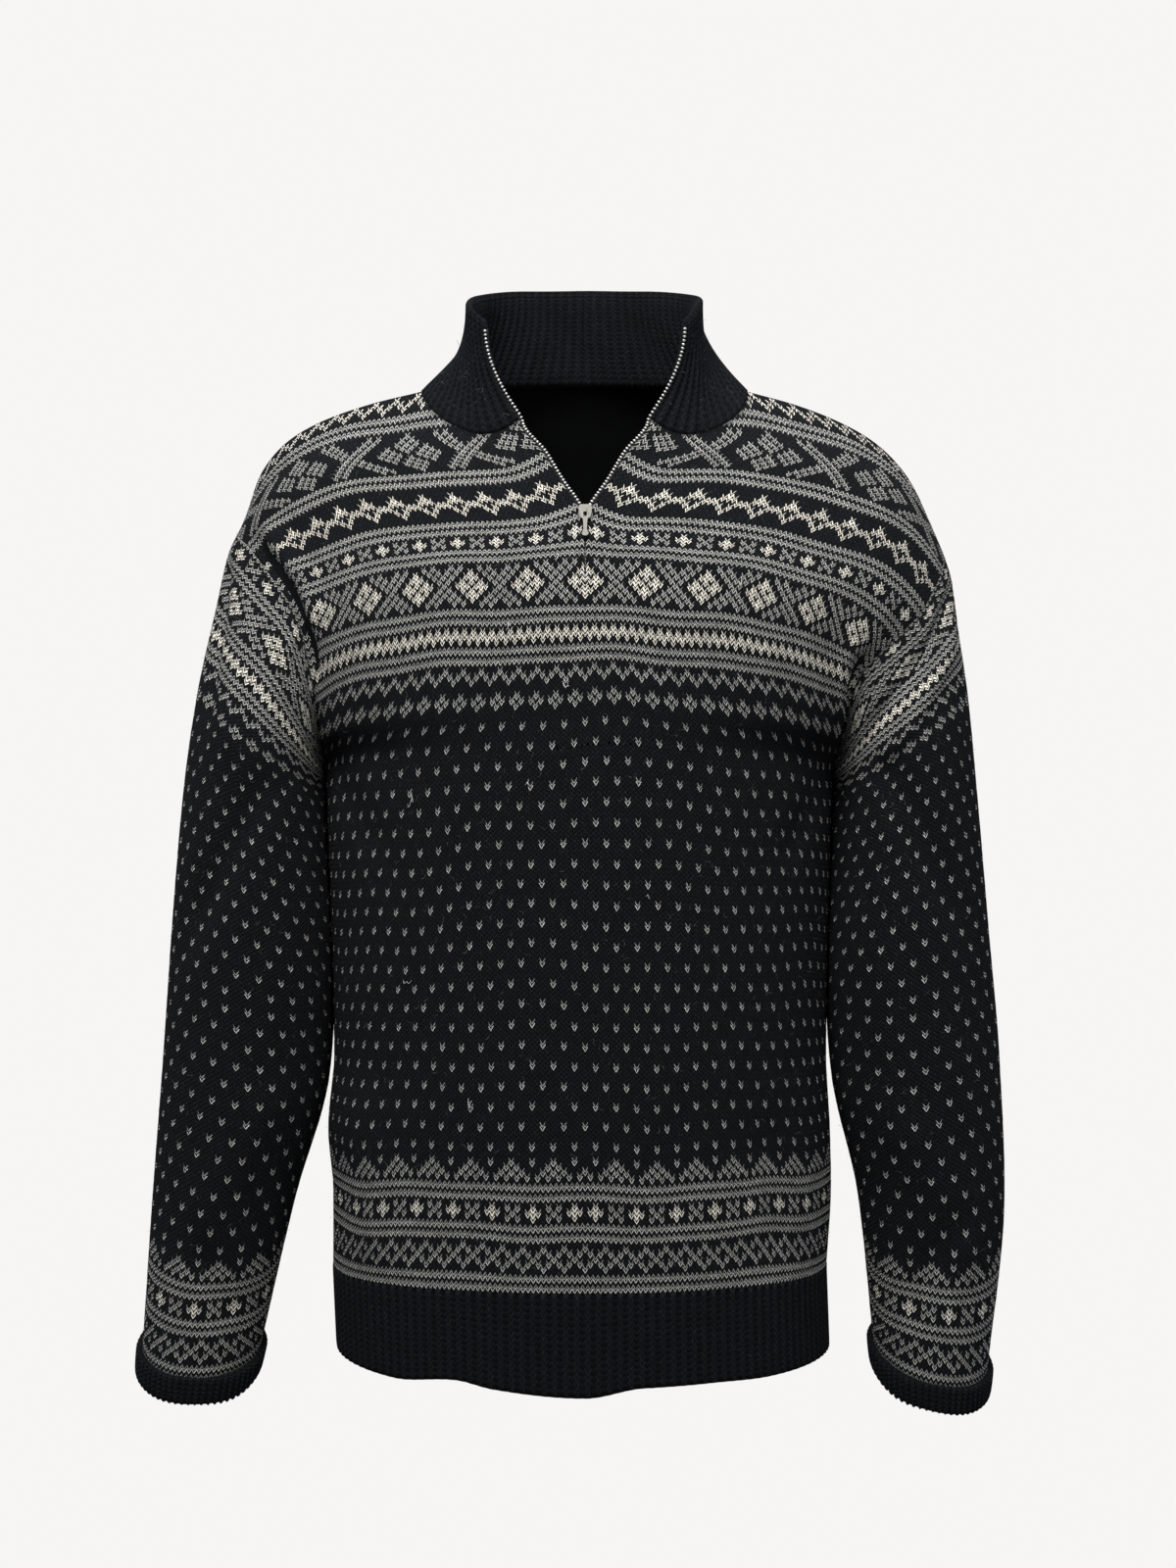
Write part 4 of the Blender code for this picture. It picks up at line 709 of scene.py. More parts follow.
def math(tree, kind, a, b=0.0, clamp=False):
    """A math node; a and b are sockets or numbers."""
    made = tree.nodes.new("ShaderNodeMath")
    made.operation = kind
    made.use_clamp = clamp
    for socket, value in zip(made.inputs, (a, b)):
        if hasattr(value, "is_linked"):
            tree.links.new(value, socket)
        else:
            socket.default_value = value
    return made.outputs[0]


def mix(tree, factor, a, b, kind="MIX"):
    """A colour mix; the factor is a socket or a number, the colours sockets or RGB."""
    made = tree.nodes.new("ShaderNodeMix")
    made.data_type = "RGBA"
    made.blend_type = kind
    for socket, value in zip((made.inputs[0], made.inputs[6], made.inputs[7]), (factor, a, b)):
        if hasattr(value, "is_linked"):
            tree.links.new(value, socket)
        else:
            socket.default_value = value if isinstance(value, float) else (*value, 1.0)
    return made.outputs[2]


def noise(tree, scale, detail, rough=0.6, stretch=None):
    """Noise of the object's own coordinates, per metre."""
    coords = tree.nodes.new("ShaderNodeTexCoord").outputs["Object"]
    if stretch:
        mapping = tree.nodes.new("ShaderNodeMapping")
        mapping.inputs["Scale"].default_value = stretch
        tree.links.new(coords, mapping.inputs["Vector"])
        coords = mapping.outputs[0]
    made = tree.nodes.new("ShaderNodeTexNoise")
    made.inputs["Scale"].default_value = scale
    made.inputs["Detail"].default_value = detail
    made.inputs["Roughness"].default_value = rough
    tree.links.new(coords, made.inputs["Vector"])
    return made.outputs["Fac"]


print("node helpers ready: material_base, math, mix, noise")

# %% Wool
CHARCOAL = (0.0052, 0.0063, 0.0082)
GREY_BEIGE = (0.500, 0.492, 0.460)
CREAM = (0.880, 0.830, 0.720)
# Painted shade for the gaps between the stitches' legs, darker than any of the yarns
GAP_SHADE = (0.0022, 0.0026, 0.0032)


def wool(name, dark, depth):
    """Heathered woollen yarn. Its colour is read from the faces' yarn, its legs from the stitch grid."""
    made, tree, shader = material_base(name)
    yarn = tree.nodes.new("ShaderNodeAttribute")
    yarn.attribute_name = "yarn"
    colour = mix(tree, math(tree, "MINIMUM", yarn.outputs["Fac"], 1.0), dark, GREY_BEIGE)
    colour = mix(tree, math(tree, "SUBTRACT", yarn.outputs["Fac"], 1.0, clamp=True), colour, CREAM)
    # Heather: slow patches, single fibres of other shades, and a few pale ones
    patches = noise(tree, 60.0, 2.0)
    fibres = noise(tree, 1500.0, 3.0, 0.75, (1.0, 1.0, 0.45))
    pale = math(tree, "MULTIPLY", math(tree, "SUBTRACT", noise(tree, 1200.0, 2.0), 0.57, clamp=True), 5.0)
    colour = mix(tree, math(tree, "MULTIPLY", pale, 0.22), colour, (0.20, 0.20, 0.195))
    shade = math(tree, "ADD", math(tree, "MULTIPLY", fibres, 1.80), math(tree, "MULTIPLY", patches, 0.50))
    shade = math(tree, "SUBTRACT", shade, 0.15)
    # A yarn below 0 marks the grooves of ribbing, which are darkened with painted shade
    groove = math(tree, "MULTIPLY", yarn.outputs["Fac"], 0.6)
    groove = math(tree, "ADD", math(tree, "MINIMUM", groove, 0.0), 1.0)
    shade = math(tree, "MULTIPLY", shade, groove)
    # Legs of the stitches run from a stitch's middle up to its edges; each is thin at its two ends
    stitch = tree.nodes.new("ShaderNodeAttribute")
    stitch.attribute_name = "stitch"
    axes = tree.nodes.new("ShaderNodeSeparateXYZ")
    tree.links.new(stitch.outputs["Vector"], axes.inputs[0])
    across = math(tree, "ABSOLUTE", math(tree, "SUBTRACT",
                  math(tree, "FRACT", math(tree, "ADD", axes.outputs[0], 100.5)), 0.5))
    from_leg = math(tree, "MULTIPLY", math(tree, "SUBTRACT", across, 0.25), 4.0)
    middle = math(tree, "SUBTRACT", 1.0, math(tree, "POWER", math(tree, "ABSOLUTE", from_leg), 2.0))
    run = math(tree, "FRACT", math(tree, "ADD", axes.outputs[1], 200.0))
    aside = math(tree, "ABSOLUTE", math(tree, "SUBTRACT", math(tree, "MULTIPLY", run, 2.0), 1.0))
    thick = math(tree, "ADD", math(tree, "MULTIPLY", middle, 0.40), 0.55)
    leg = math(tree, "POWER", math(tree, "DIVIDE", aside, thick), 2.0)
    leg = math(tree, "SUBTRACT", 1.0, leg, clamp=True)
    ply = math(tree, "SINE", math(tree, "MULTIPLY",
               math(tree, "ADD", math(tree, "MULTIPLY", from_leg, 1.5), run), 6.28318))
    height = math(tree, "ADD", leg, math(tree, "MULTIPLY", ply, 0.10))
    height = math(tree, "ADD", height, math(tree, "MULTIPLY", fibres, 0.55))
    # Every leg has its own tone, and painted shade darkens the gaps between the legs, where the dark yarn
    # behind them also shows
    own = tree.nodes.new("ShaderNodeTexWhiteNoise")
    numbers = tree.nodes.new("ShaderNodeCombineXYZ")
    tree.links.new(math(tree, "FLOOR", math(tree, "MULTIPLY", axes.outputs[0], 2.0)), numbers.inputs[0])
    tree.links.new(math(tree, "FLOOR", axes.outputs[1]), numbers.inputs[1])
    tree.links.new(numbers.outputs[0], own.inputs["Vector"])
    lighter = math(tree, "ADD", math(tree, "MULTIPLY", own.outputs["Value"], 0.40), 0.80)
    shade = math(tree, "MULTIPLY", shade, lighter)
    # Painted shade fills each gap, up to where a leg's height passes depth
    full = math(tree, "MULTIPLY", math(tree, "SUBTRACT", leg, depth), 2.4, clamp=True)
    colour = mix(tree, full, GAP_SHADE, colour)
    grey = tree.nodes.new("ShaderNodeCombineColor")
    for socket in grey.inputs:
        tree.links.new(shade, socket)
    colour = mix(tree, 1.0, colour, grey.outputs[0], "MULTIPLY")
    bump = tree.nodes.new("ShaderNodeBump")
    bump.inputs["Strength"].default_value = 0.9
    bump.inputs["Distance"].default_value = 0.0006
    tree.links.new(height, bump.inputs["Height"])
    tree.links.new(bump.outputs[0], shader.inputs["Normal"])
    tree.links.new(colour, shader.inputs["Base Color"])
    shader.inputs["Roughness"].default_value = 0.92
    shader.inputs["Specular IOR Level"].default_value = 0.15
    shader.inputs["Sheen Weight"].default_value = 0.012
    shader.inputs["Sheen Roughness"].default_value = 0.6
    shader.inputs["Sheen Tint"].default_value = (0.66, 0.70, 0.76, 1.0)
    return made


KNIT = wool("patterned_wool", CHARCOAL, 0.22)
RIB = wool("ribbed_wool", (0.0044, 0.0057, 0.0080), -0.10)
print("materials:", KNIT.name, RIB.name)

# %% [markdown]
# ## Panels
# A panel's whole rows are worked out first, then each point of the stitch grid is read from between them.
# Rows that would pass the neck end at its edge. The wall has its true thickness, with a rim at every edge.

# %% Half a panel
def panel_half(face, side):
    """Lines by columns of one half from the middle out: points, outward normals, inner points, row places."""
    columns = np.arange(HALF_COLUMNS + 1)
    shares = columns / HALF_COLUMNS
    grid = lattice(face, side, shares)
    facing = normals(grid) * (SIGN[side] * FACING[face])
    lines = np.arange(TOP_ROW, LAST_ROW + 2) - 0.5
    signed = columns * SIGN[side] / STITCH_COLUMNS
    seed = 3 if face == "front" else 5
    uneven = tension(signed[None, :], lines[:, None], seed)
    uneven = uneven + wander(signed[None, :], lines[:, None], LAST_ROW, seed)
    calm = np.clip((HALF_COLUMNS - columns) / 24.0, 0, 1)[None, :]
    rows = lines[:, None] + ROW_DROP[columns % STITCH_COLUMNS][None, :] + uneven * calm
    rows = np.clip(rows, neck_row(face, shares)[None, :], LAST_ROW)
    points, out = at_rows(grid, rows), unit(at_rows(facing, rows))
    loose = YARN_UNEVEN * np.random.RandomState(11).randn(*rows.shape)
    relief = (RELIEF[columns % STITCH_COLUMNS][None, :] + loose) * calm_edges(face, rows, shares)
    outer = points + out * relief[:, :, None]
    coarse = np.append(np.arange(0, HALF_COLUMNS, INNER_STEP), HALF_COLUMNS)
    plain = np.clip(lines[:, None], neck_row(face, shares[coarse])[None, :], LAST_ROW)
    inner = at_rows(grid[:, coarse], plain) - unit(at_rows(facing[:, coarse], plain)) * WALL
    facing_outer = normals(outer) * (SIGN[side] * FACING[face])
    bad = np.linalg.norm(facing_outer, axis=2) < 0.5
    facing_outer[bad] = out[bad]
    return outer, facing_outer, inner, rows


def calm_edges(face, rows, shares):
    """Relief fades to none at the neck edge, where rows run into each other."""
    return np.clip((rows - neck_row(face, shares)[None, :]) / 0.8, 0, 1)


print("half a panel:", HALF_COLUMNS + 1, "columns of points")

# %% Front and back
def knit_panel(face):
    """A panel in two meshes, above and below CUT_ROW, because together they would be very fine."""
    halves = {side: panel_half(face, side) for side in ("minus", "plus")}
    closed = halves["plus"][3][:, 0] >= (SLIT_ROW if face == "front" else TOP_ROW)
    for part in (0, 2):
        a, b = halves["minus"][part], halves["plus"][part]
        mean = (a[closed, 0] + b[closed, 0]) / 2
        mean[:, 0] = 0.0
        a[closed, 0], b[closed, 0] = mean, mean
    for side in halves:
        halves[side][1][closed, 0, 0] = 0.0
    lines = len(halves["plus"][0])
    cut = CUT_ROW - TOP_ROW
    for part, (first, last) in (("upper", (0, cut)), ("lower", (cut, lines - 1))):
        points, facing, stitch, blocks, count = [], [], [], [], 0
        for side, (outer, out, inner, _) in halves.items():
            outer, out, inner = outer[first:last + 1], out[first:last + 1], inner[first:last + 1]
            high, wide, few = outer.shape[0], outer.shape[1], inner.shape[1]
            outer_at = count + np.arange(high * wide).reshape(high, wide)
            inner_at = count + high * wide + np.arange(high * few).reshape(high, few)
            count += high * (wide + few)
            points += [outer.reshape(-1, 3), inner.reshape(-1, 3)]
            facing += [out.reshape(-1, 3), np.zeros((high * few, 3))]
            down = np.arange(first, last + 1) + TOP_ROW - 0.5
            place = stitch_places(np.arange(wide) / STITCH_COLUMNS, down)
            stitch += [place.reshape(-1, 3), np.zeros((high * few, 3))]
            row = np.arange(first, last)[:, None] + TOP_ROW
            column = np.floor((np.arange(wide - 1) + 0.5) / STITCH_COLUMNS + 0.5).astype(int)
            yarn = yarn_at(column[None, :], row)
            inner_yarn = floats(yarn_at(np.arange(few - 1)[None, :], row))
            side_blocks = [(span_faces(outer_at), yarn.ravel()),
                           (span_faces(inner_at)[:, ::-1], inner_yarn.ravel())]
            top = rim(outer_at[0], inner_at[0], INNER_STEP)
            foot = [(c[:, ::-1], y) for c, y in rim(outer_at[-1], inner_at[-1], INNER_STEP)]
            seam = np.stack([outer_at[:-1, -1], outer_at[1:, -1], inner_at[1:, -1], inner_at[:-1, -1]], 1)
            side_blocks += top + foot + [(seam, 0.0)]
            open_rows = np.flatnonzero(~closed[first + 1:last + 1])
            if len(open_rows):
                slit = np.stack([outer_at[open_rows + 1, 0], outer_at[open_rows, 0], inner_at[open_rows, 0],
                                 inner_at[open_rows + 1, 0]], 1)
                side_blocks.append((slit, 0.0))
            if side == "minus":
                side_blocks = [(c[:, ::-1], y) for c, y in side_blocks]
            blocks += side_blocks
        piece = mesh_object(f"{face}_{part}", np.concatenate(points), blocks, KNIT,
                            np.concatenate(stitch), np.concatenate(facing))
        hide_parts(f"{face}_panel")
        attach(piece, "sweater")
    return halves


FRONT_HALVES = knit_panel("front")
BACK_HALVES = knit_panel("back")

# %% [markdown]
# ## Sleeves
# A sleeve's stitches count from its top, both ways round to the seam under the arm. It narrows from 104
# stitches to 76, so stitches end in that seam as they would where a knitter decreases.

# %% Sleeves
def read_grid(grid, rows, shares):
    """Points of a sleeve's grid (whole rows by even shares of the way round) at rows and shares."""
    row = np.clip(rows, 0, len(grid) - 1.000001)
    column = np.clip(np.mod(shares, 1.0) * (grid.shape[1] - 1), 0, grid.shape[1] - 1.000001)
    i, j = row.astype(int), column.astype(int)
    u, v = (row - i)[..., None], (column - j)[..., None]
    upper = grid[i, j] * (1 - v) + grid[i, j + 1] * v
    lower = grid[i + 1, j] * (1 - v) + grid[i + 1, j + 1] * v
    return upper * (1 - u) + lower * u


def knit_sleeve(name, side):
    """A whole sleeve, closed by its seam under the arm; gives its outer points and their directions."""
    dense = np.linspace(0, 1, 385)
    grid = sleeve_grid(side, np.arange(SLEEVE_ROWS + 1), dense)
    out = sleeve_normals(side, grid)
    half = int(SLEEVE_STITCHES[1][0] / 2 * STITCH_COLUMNS)
    columns = np.arange(-half, half + 1)
    lines = np.arange(0, SLEEVE_ROWS + 2) - 0.5

    def placed(steps, drop):
        stitch = columns[::steps] / STITCH_COLUMNS
        around = np.interp(lines, *SLEEVE_STITCHES)[:, None]
        ended = np.abs(stitch)[None, :] >= around / 2 - 0.01
        fall = np.where(ended, ROW_DROP[2], ROW_DROP[columns[::steps] % STITCH_COLUMNS][None, :]) * drop
        seed = 7 if side == "minus" else 9
        uneven = tension(stitch[None, :], lines[:, None], seed)
        uneven = uneven + wander(stitch[None, :], lines[:, None], SLEEVE_ROWS, seed)
        uneven = uneven * np.clip(lines / 8.0, 0, 1)[:, None] * (~ended) * drop
        calm = np.clip((around / 2 - np.abs(stitch)[None, :]) / 5.0, 0, 1)
        rows = np.clip(lines[:, None] + fall + uneven * calm, 0, SLEEVE_ROWS)
        shares = np.clip(stitch[None, :] / around, -0.5, 0.5)
        return rows, shares, ended

    rows, shares, ended = placed(1, 1.0)
    relief = np.where(ended, RELIEF[2], RELIEF[columns % STITCH_COLUMNS][None, :])
    relief = relief + YARN_UNEVEN * np.random.RandomState(13).randn(*relief.shape) * (~ended)
    outer = read_grid(grid, rows, shares) + unit(read_grid(out, rows, shares)) * relief[:, :, None]
    rows_in, shares_in, _ = placed(INNER_STEP, 0.0)
    inner = read_grid(grid, rows_in, shares_in) - unit(read_grid(out, rows_in, shares_in)) * WALL
    high, wide, few = outer.shape[0], outer.shape[1], inner.shape[1]
    outer_at = np.arange(high * wide).reshape(high, wide)
    inner_at = high * wide + np.arange(high * few).reshape(high, few)
    column = np.floor((columns[:-1] + 0.5) / STITCH_COLUMNS + 0.5).astype(int)
    row = np.arange(SLEEVE_ROWS + 1)[:, None]
    chart_row = np.where(row < SLEEVE_CHANGE, row - SLEEVE_TOP, row - SLEEVE_FOOT)
    yarn = yarn_at(column[None, :], chart_row)
    inner_yarn = floats(yarn_at(np.arange(few - 1)[None, :], chart_row))
    blocks = [(span_faces(outer_at), yarn.ravel()), (span_faces(inner_at)[:, ::-1], inner_yarn.ravel())]
    blocks += rim(outer_at[0], inner_at[0], INNER_STEP)
    blocks += [(c[:, ::-1], y) for c, y in rim(outer_at[-1], inner_at[-1], INNER_STEP)]
    place = stitch_places(columns / STITCH_COLUMNS, lines)
    piece = mesh_object(name + "_knit", np.concatenate([outer.reshape(-1, 3), inner.reshape(-1, 3)]), blocks,
                        KNIT, np.concatenate([place.reshape(-1, 3), np.zeros((high * few, 3))]))
    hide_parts(name)
    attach(piece, "sweater")
    return outer, unit(read_grid(out, rows, shares))


RIGHT_SURFACE, RIGHT_OUT = knit_sleeve("sleeve_right", "minus")
LEFT_SURFACE, LEFT_OUT = knit_sleeve("sleeve_left", "plus")

# %% [markdown]
# ## Ribbing
# Hem, cuffs and collar are plain charcoal ribbing: a knitted rib of two legs, then a purl groove. Eight
# columns of points cross each rib and its groove.

# %% Ribs
RIB_COLUMNS = 8
# By column of a rib: its height, its painted shade in the groove, how far its stitches drop and where it lies
RIB_PROFILE = np.array([-0.2, 0.9, 0.5, 0.9, -0.2, -1.0, -1.3, -1.0]) * 0.00080
RIB_SHADE = np.array([0.0, 0.0, 0.0, 0.0, -0.7, -1.0, -1.0, -0.7])
RIB_DROP = np.array([-0.45, 0.0, 0.45, 0.0, -0.45, -0.2, 0.0, -0.2])
RIB_ACROSS = np.array([-0.5, -0.25, 0.0, 0.25, 0.5, 0.62, 0.75, 0.88])


def ring_or_strip(name, sections, wrap, places, node, roll=0.0004):
    """A closed body through rows of points round its section; wrap joins its two ends, or each is a roll."""
    count, wide = sections.shape[:2]
    index = np.arange(count * wide).reshape(count, wide)
    index = np.vstack([index, index[:1]])
    if wrap:
        index = np.hstack([index, index[:, :1]])
    # Painted shade of the grooves, carried on the faces' yarn
    shade = RIB_SHADE[np.arange(index.shape[1] - 1) % RIB_COLUMNS]
    blocks = [(span_faces(index), np.tile(shade, count))]
    points, marks = [sections.reshape(-1, 3)], [places.reshape(-1, 3)]
    half, made = count // 2, count * wide
    for col, turn in ((0, 1), (wide - 1, -1)) if not wrap else ():
        # An end: a soft roll of knit from the outer side to the inner one
        first, last = sections[:half, col], sections[:half:-1, col]
        past = unit(sections[:half, col] - sections[:half, col + 4 * turn])
        rows = [index[:half, col]]
        for share in (0.2, 0.4, 0.6, 0.8):
            points.append(first + (last - first) * share + past * (roll * np.sin(np.pi * share)))
            marks.append(places[:half, col] - [turn * share * 2, 0, 0])
            rows.append(made + np.arange(half))
            made += half
        rows.append(index[count - 1:half:-1, col])
        grid = np.array(rows).T
        quads = np.stack([grid[:-1, :-1], grid[1:, :-1], grid[1:, 1:], grid[:-1, 1:]], -1).reshape(-1, 4)
        tips = np.stack([grid[-1, :-1], np.full(5, index[half, col]), grid[-1, 1:]], -1)
        for faces in (quads, tips, grid[:1, ::-1]):
            blocks.append((faces[:, ::-turn], 0.0))
    piece = mesh_object(name, np.concatenate(points), blocks, RIB, np.concatenate(marks), weld=False)
    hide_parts(node)
    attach(piece, "sweater")


def rib_places(wide, rows):
    """Each point's place in the rib's stitches, for its wool."""
    k = np.arange(wide)
    return stitch_places(k // RIB_COLUMNS + RIB_ACROSS[k % RIB_COLUMNS], rows)


print("a rib:", RIB_COLUMNS, "columns, raised by", RIB_PROFILE.max(), "m")

# %% [markdown]
# ## Hem
# The hem ribbing is knitted on below each panel and joined in the side seams. It pulls in a little, and its
# lower edge waves where it rests on nothing.

# %% Hem
# How far the front's lower edge rises, by signed share of its width
HEM_WAVE = table(
    "share rise",
    (-1.00, 0.0000),
    (-0.60, 0.0010),
    (-0.38, 0.0080),
    (-0.27, 0.0040),
    (0.00, 0.0000),
    (0.17, 0.0065),
    (0.37, 0.0060),
    (0.57, 0.0030),
    (1.00, 0.0000),
)
HEM_SIDE = {"minus": 0.1924, "plus": 0.1888}  # half width of the lower edge
HEM_FRONT_Y = -0.1300
HEM_BACK_Y = 0.1210
HEM_RIBS = 64
HEM_ROWS = 15


def hem_grid(face, heights, shares):
    """Hem points at heights (0 top, 1 lower edge) and signed shares, -1 on the -X side."""
    upper = np.empty((len(shares), 3))
    for side, sign in SIGN.items():
        here = (shares < 0) if sign < 0 else (shares >= 0)
        upper[here] = lattice(face, side, np.abs(shares[here]))[-1]
    turn = shares * np.pi / 2
    side_x = np.where(shares < 0, HEM_SIDE["minus"], HEM_SIDE["plus"])
    lower = upper.copy()
    far = HEM_FRONT_Y if face == "front" else HEM_BACK_Y
    far_upper = along(FRONT if face == "front" else BACK, "y", LAST_ROW)
    edge = FRONT_SIDE if face == "front" else BACK_SIDE
    upper_x = np.where(shares < 0, along(edge, "minus_x", LAST_ROW), along(edge, "plus_x", LAST_ROW))
    lower[:, 0] *= side_x / upper_x
    lower[:, 1] *= far / far_upper
    wave = along(HEM_WAVE, "rise", shares) if face == "front" else 0.003 * np.sin(turn * 5) ** 2
    lower[:, 2] = HEM_Z + wave
    h = np.asarray(heights)[:, None, None]
    return upper[None] * (1 - h) + lower[None] * h


def knit_hem(name, face):
    """Hem ribbing below one panel; the inside carries the same ribs turned round."""
    shares = np.linspace(-1, 1, HEM_RIBS * RIB_COLUMNS + 1)
    k = np.arange(len(shares))
    drop = RIB_DROP[k % RIB_COLUMNS] / HEM_ROWS
    heights = np.linspace(0, 1, HEM_ROWS + 1)
    plain = hem_grid(face, heights, shares)
    out = normals(plain) * FACING[face]
    edge = np.clip(np.minimum(heights, 1 - heights) * HEM_ROWS, 0, 1)
    down = (plain[-1] - plain[0])[None] * (drop[None, :] * edge[:, None])[:, :, None]
    loose = tension(k[None, :] / RIB_COLUMNS, np.arange(HEM_ROWS + 1)[:, None], 17) * 0.0022
    relief = RIB_PROFILE[k % RIB_COLUMNS][None, :] + loose * edge[:, None]
    outer = plain + down + out * relief[:, :, None]
    back = -RIB_PROFILE[k % RIB_COLUMNS][None, :] * 0.6 - RIB_WALL + loose * edge[:, None]
    inner = (plain + out * back[:, :, None])[::-1]
    round_foot = (outer[-1] + inner[0]) / 2 + unit(plain[-1] - plain[-2]) * 0.0011
    sections = np.concatenate([outer, round_foot[None], inner])
    places = rib_places(len(shares), np.arange(len(sections)))
    ring_or_strip(name + "_knit", sections, False, places, name)


knit_hem("hem_rib_front", "front")
knit_hem("hem_rib_back", "back")

# %% [markdown]
# ## Cuffs
# A cuff is a tube of ribbing knitted on at the wrist and turned up once, so its edge lies outside, facing
# up the arm. It is one closed body round a section that goes down, turns at the fold and comes up again.

# %% Cuffs
# Each station of the turned-up cuff: how far it lies down from the sleeve's end, how far out from the
# sleeve's surface, and whether it carries ribs.
CUFF = table(
    "station down out ribbed",
    (0, -0.0050, 0.0030, 1),
    (1, -0.0030, 0.0044, 1),
    (2, 0.0135, 0.0043, 1),
    (3, 0.0172, 0.0022, 1),
    (4, 0.0174, -0.0008, 0),
    (5, 0.0145, -0.0028, 0),
    (6, 0.0004, -0.0030, 0),
    (7, 0.0004, 0.0000, 0),
    (8, 0.0135, 0.0000, 0),
    (9, 0.0135, 0.0007, 0),
    (10, -0.0050, 0.0007, 0),
)
CUFF_RIBS = 58
CUFF_STEPS = (1, 6, 3, 2, 2, 5, 1, 4, 1, 4, 2)  # lines of points from each station to the next


def knit_cuff(name, side):
    """A turned-up cuff that follows the last row of its sleeve."""
    wide = CUFF_RIBS * RIB_COLUMNS
    shares = np.arange(wide) / wide
    last_rows = np.array([SLEEVE_ROWS - 6.0, SLEEVE_ROWS - 1, SLEEVE_ROWS])
    grid = sleeve_grid(side, last_rows, np.append(shares, 1.0))
    facing = sleeve_normals(side, grid)[-1][:-1]
    edge, down = grid[-1][:-1], unit(grid[-1] - grid[0])[:-1]
    count = len(CUFF["key"])
    steps = np.concatenate([i + np.arange(n) / n for i, n in enumerate(CUFF_STEPS)])
    i = steps.astype(int)
    t = steps - i
    station = []
    for column in ("down", "out", "ribbed"):
        v = CUFF[column]
        p0, p1, p2, p3 = v[(i - 1) % count], v[i % count], v[(i + 1) % count], v[(i + 2) % count]
        bent = p1 + 0.5 * t * (p2 - p0 + t * (2 * p0 - 5 * p1 + 4 * p2 - p3 + t * (3 * (p1 - p2) + p3 - p0)))
        straight = p1 + (p2 - p1) * t
        station.append(np.where((i < 6) & (column != "ribbed"), bent, straight))
    k = np.arange(wide)
    turn = np.arange(wide) / wide * 2 * np.pi
    uneven = 0.0009 * np.sin(3 * turn + 1.0) + 0.0007 * np.sin(5 * turn + 2.6)
    down_by = station[0][:, None] + np.clip(station[2], 0, 1)[:, None] * uneven[None, :]
    ribbed = np.clip(station[2], 0, 1)[:, None]
    out_by = station[1][:, None] + RIB_PROFILE[k % RIB_COLUMNS][None, :] * ribbed
    inside = ((station[1] < -0.002) * 0.8)[:, None]
    out_by = out_by - RIB_PROFILE[k % RIB_COLUMNS][None, :] * inside
    down_by = down_by + RIB_DROP[k % RIB_COLUMNS][None, :] * ribbed * 0.0016
    sections = edge[None] + down[None] * down_by[:, :, None] + facing[None] * out_by[:, :, None]
    places = rib_places(wide, np.cumsum(np.full(len(sections), 0.8)))
    ring_or_strip(name + "_knit", sections, True, places, name)


knit_cuff("cuff_right", "minus")
knit_cuff("cuff_left", "plus")

# %% [markdown]
# ## Collar
# The stand collar is a strip of ribbing as long as the neck edge, folded double along its upper edge. Its
# outer side is sewn on at the neck and its inner side covers that seam.

# %% The collar's surface
COLLAR_RIBS = 60
COLLAR_ROWS = 20
COLLAR_MIDDLE = COLLAR_RIBS * RIB_COLUMNS // 2  # the column at the middle of the back
NECK_CORNERS = 60


def neck_edge(side):
    """The neck edge from the zip to the middle of the back."""
    found = []
    shares = np.linspace(0, NECK_SHARE, NECK_CORNERS)
    for face, order in (("front", shares), ("back", shares[::-1])):
        grid = lattice(face, side, order)
        found.append(at_rows(grid, neck_row(face, order)[None, :])[0])
    return np.concatenate([found[0], found[1][1:]])


def collar_grid(side, heights, shares):
    """Collar points at heights (0 foot, 1 upper edge) and shares from the zip to the middle back."""
    edge = neck_edge(side)
    reach = lengths(edge)
    foot = on_path(edge, reach, shares * reach[-1])
    x = along(COLLAR_TOP, side + "_x", shares) * SIGN[side]
    top = np.stack([x, along(COLLAR_TOP, "y", shares), along(COLLAR_TOP, "z", shares)], 1)
    h = np.asarray(heights)[:, None, None]
    grid = top[None] + (foot - top)[None] * (1 - h) ** 2.2
    grid[:, :, 2] = foot[:, 2] + (top[:, 2] - foot[:, 2]) * h[:, :, 0] ** 0.92
    return grid


def collar_normals(points):
    """Outward directions of the collar's points: at the middle of the back they face +Y."""
    out = normals(points)
    return -out if out[:, COLLAR_MIDDLE, 1].mean() < 0 else out


print("neck edge of the right half:", len(neck_edge("minus")), "points")

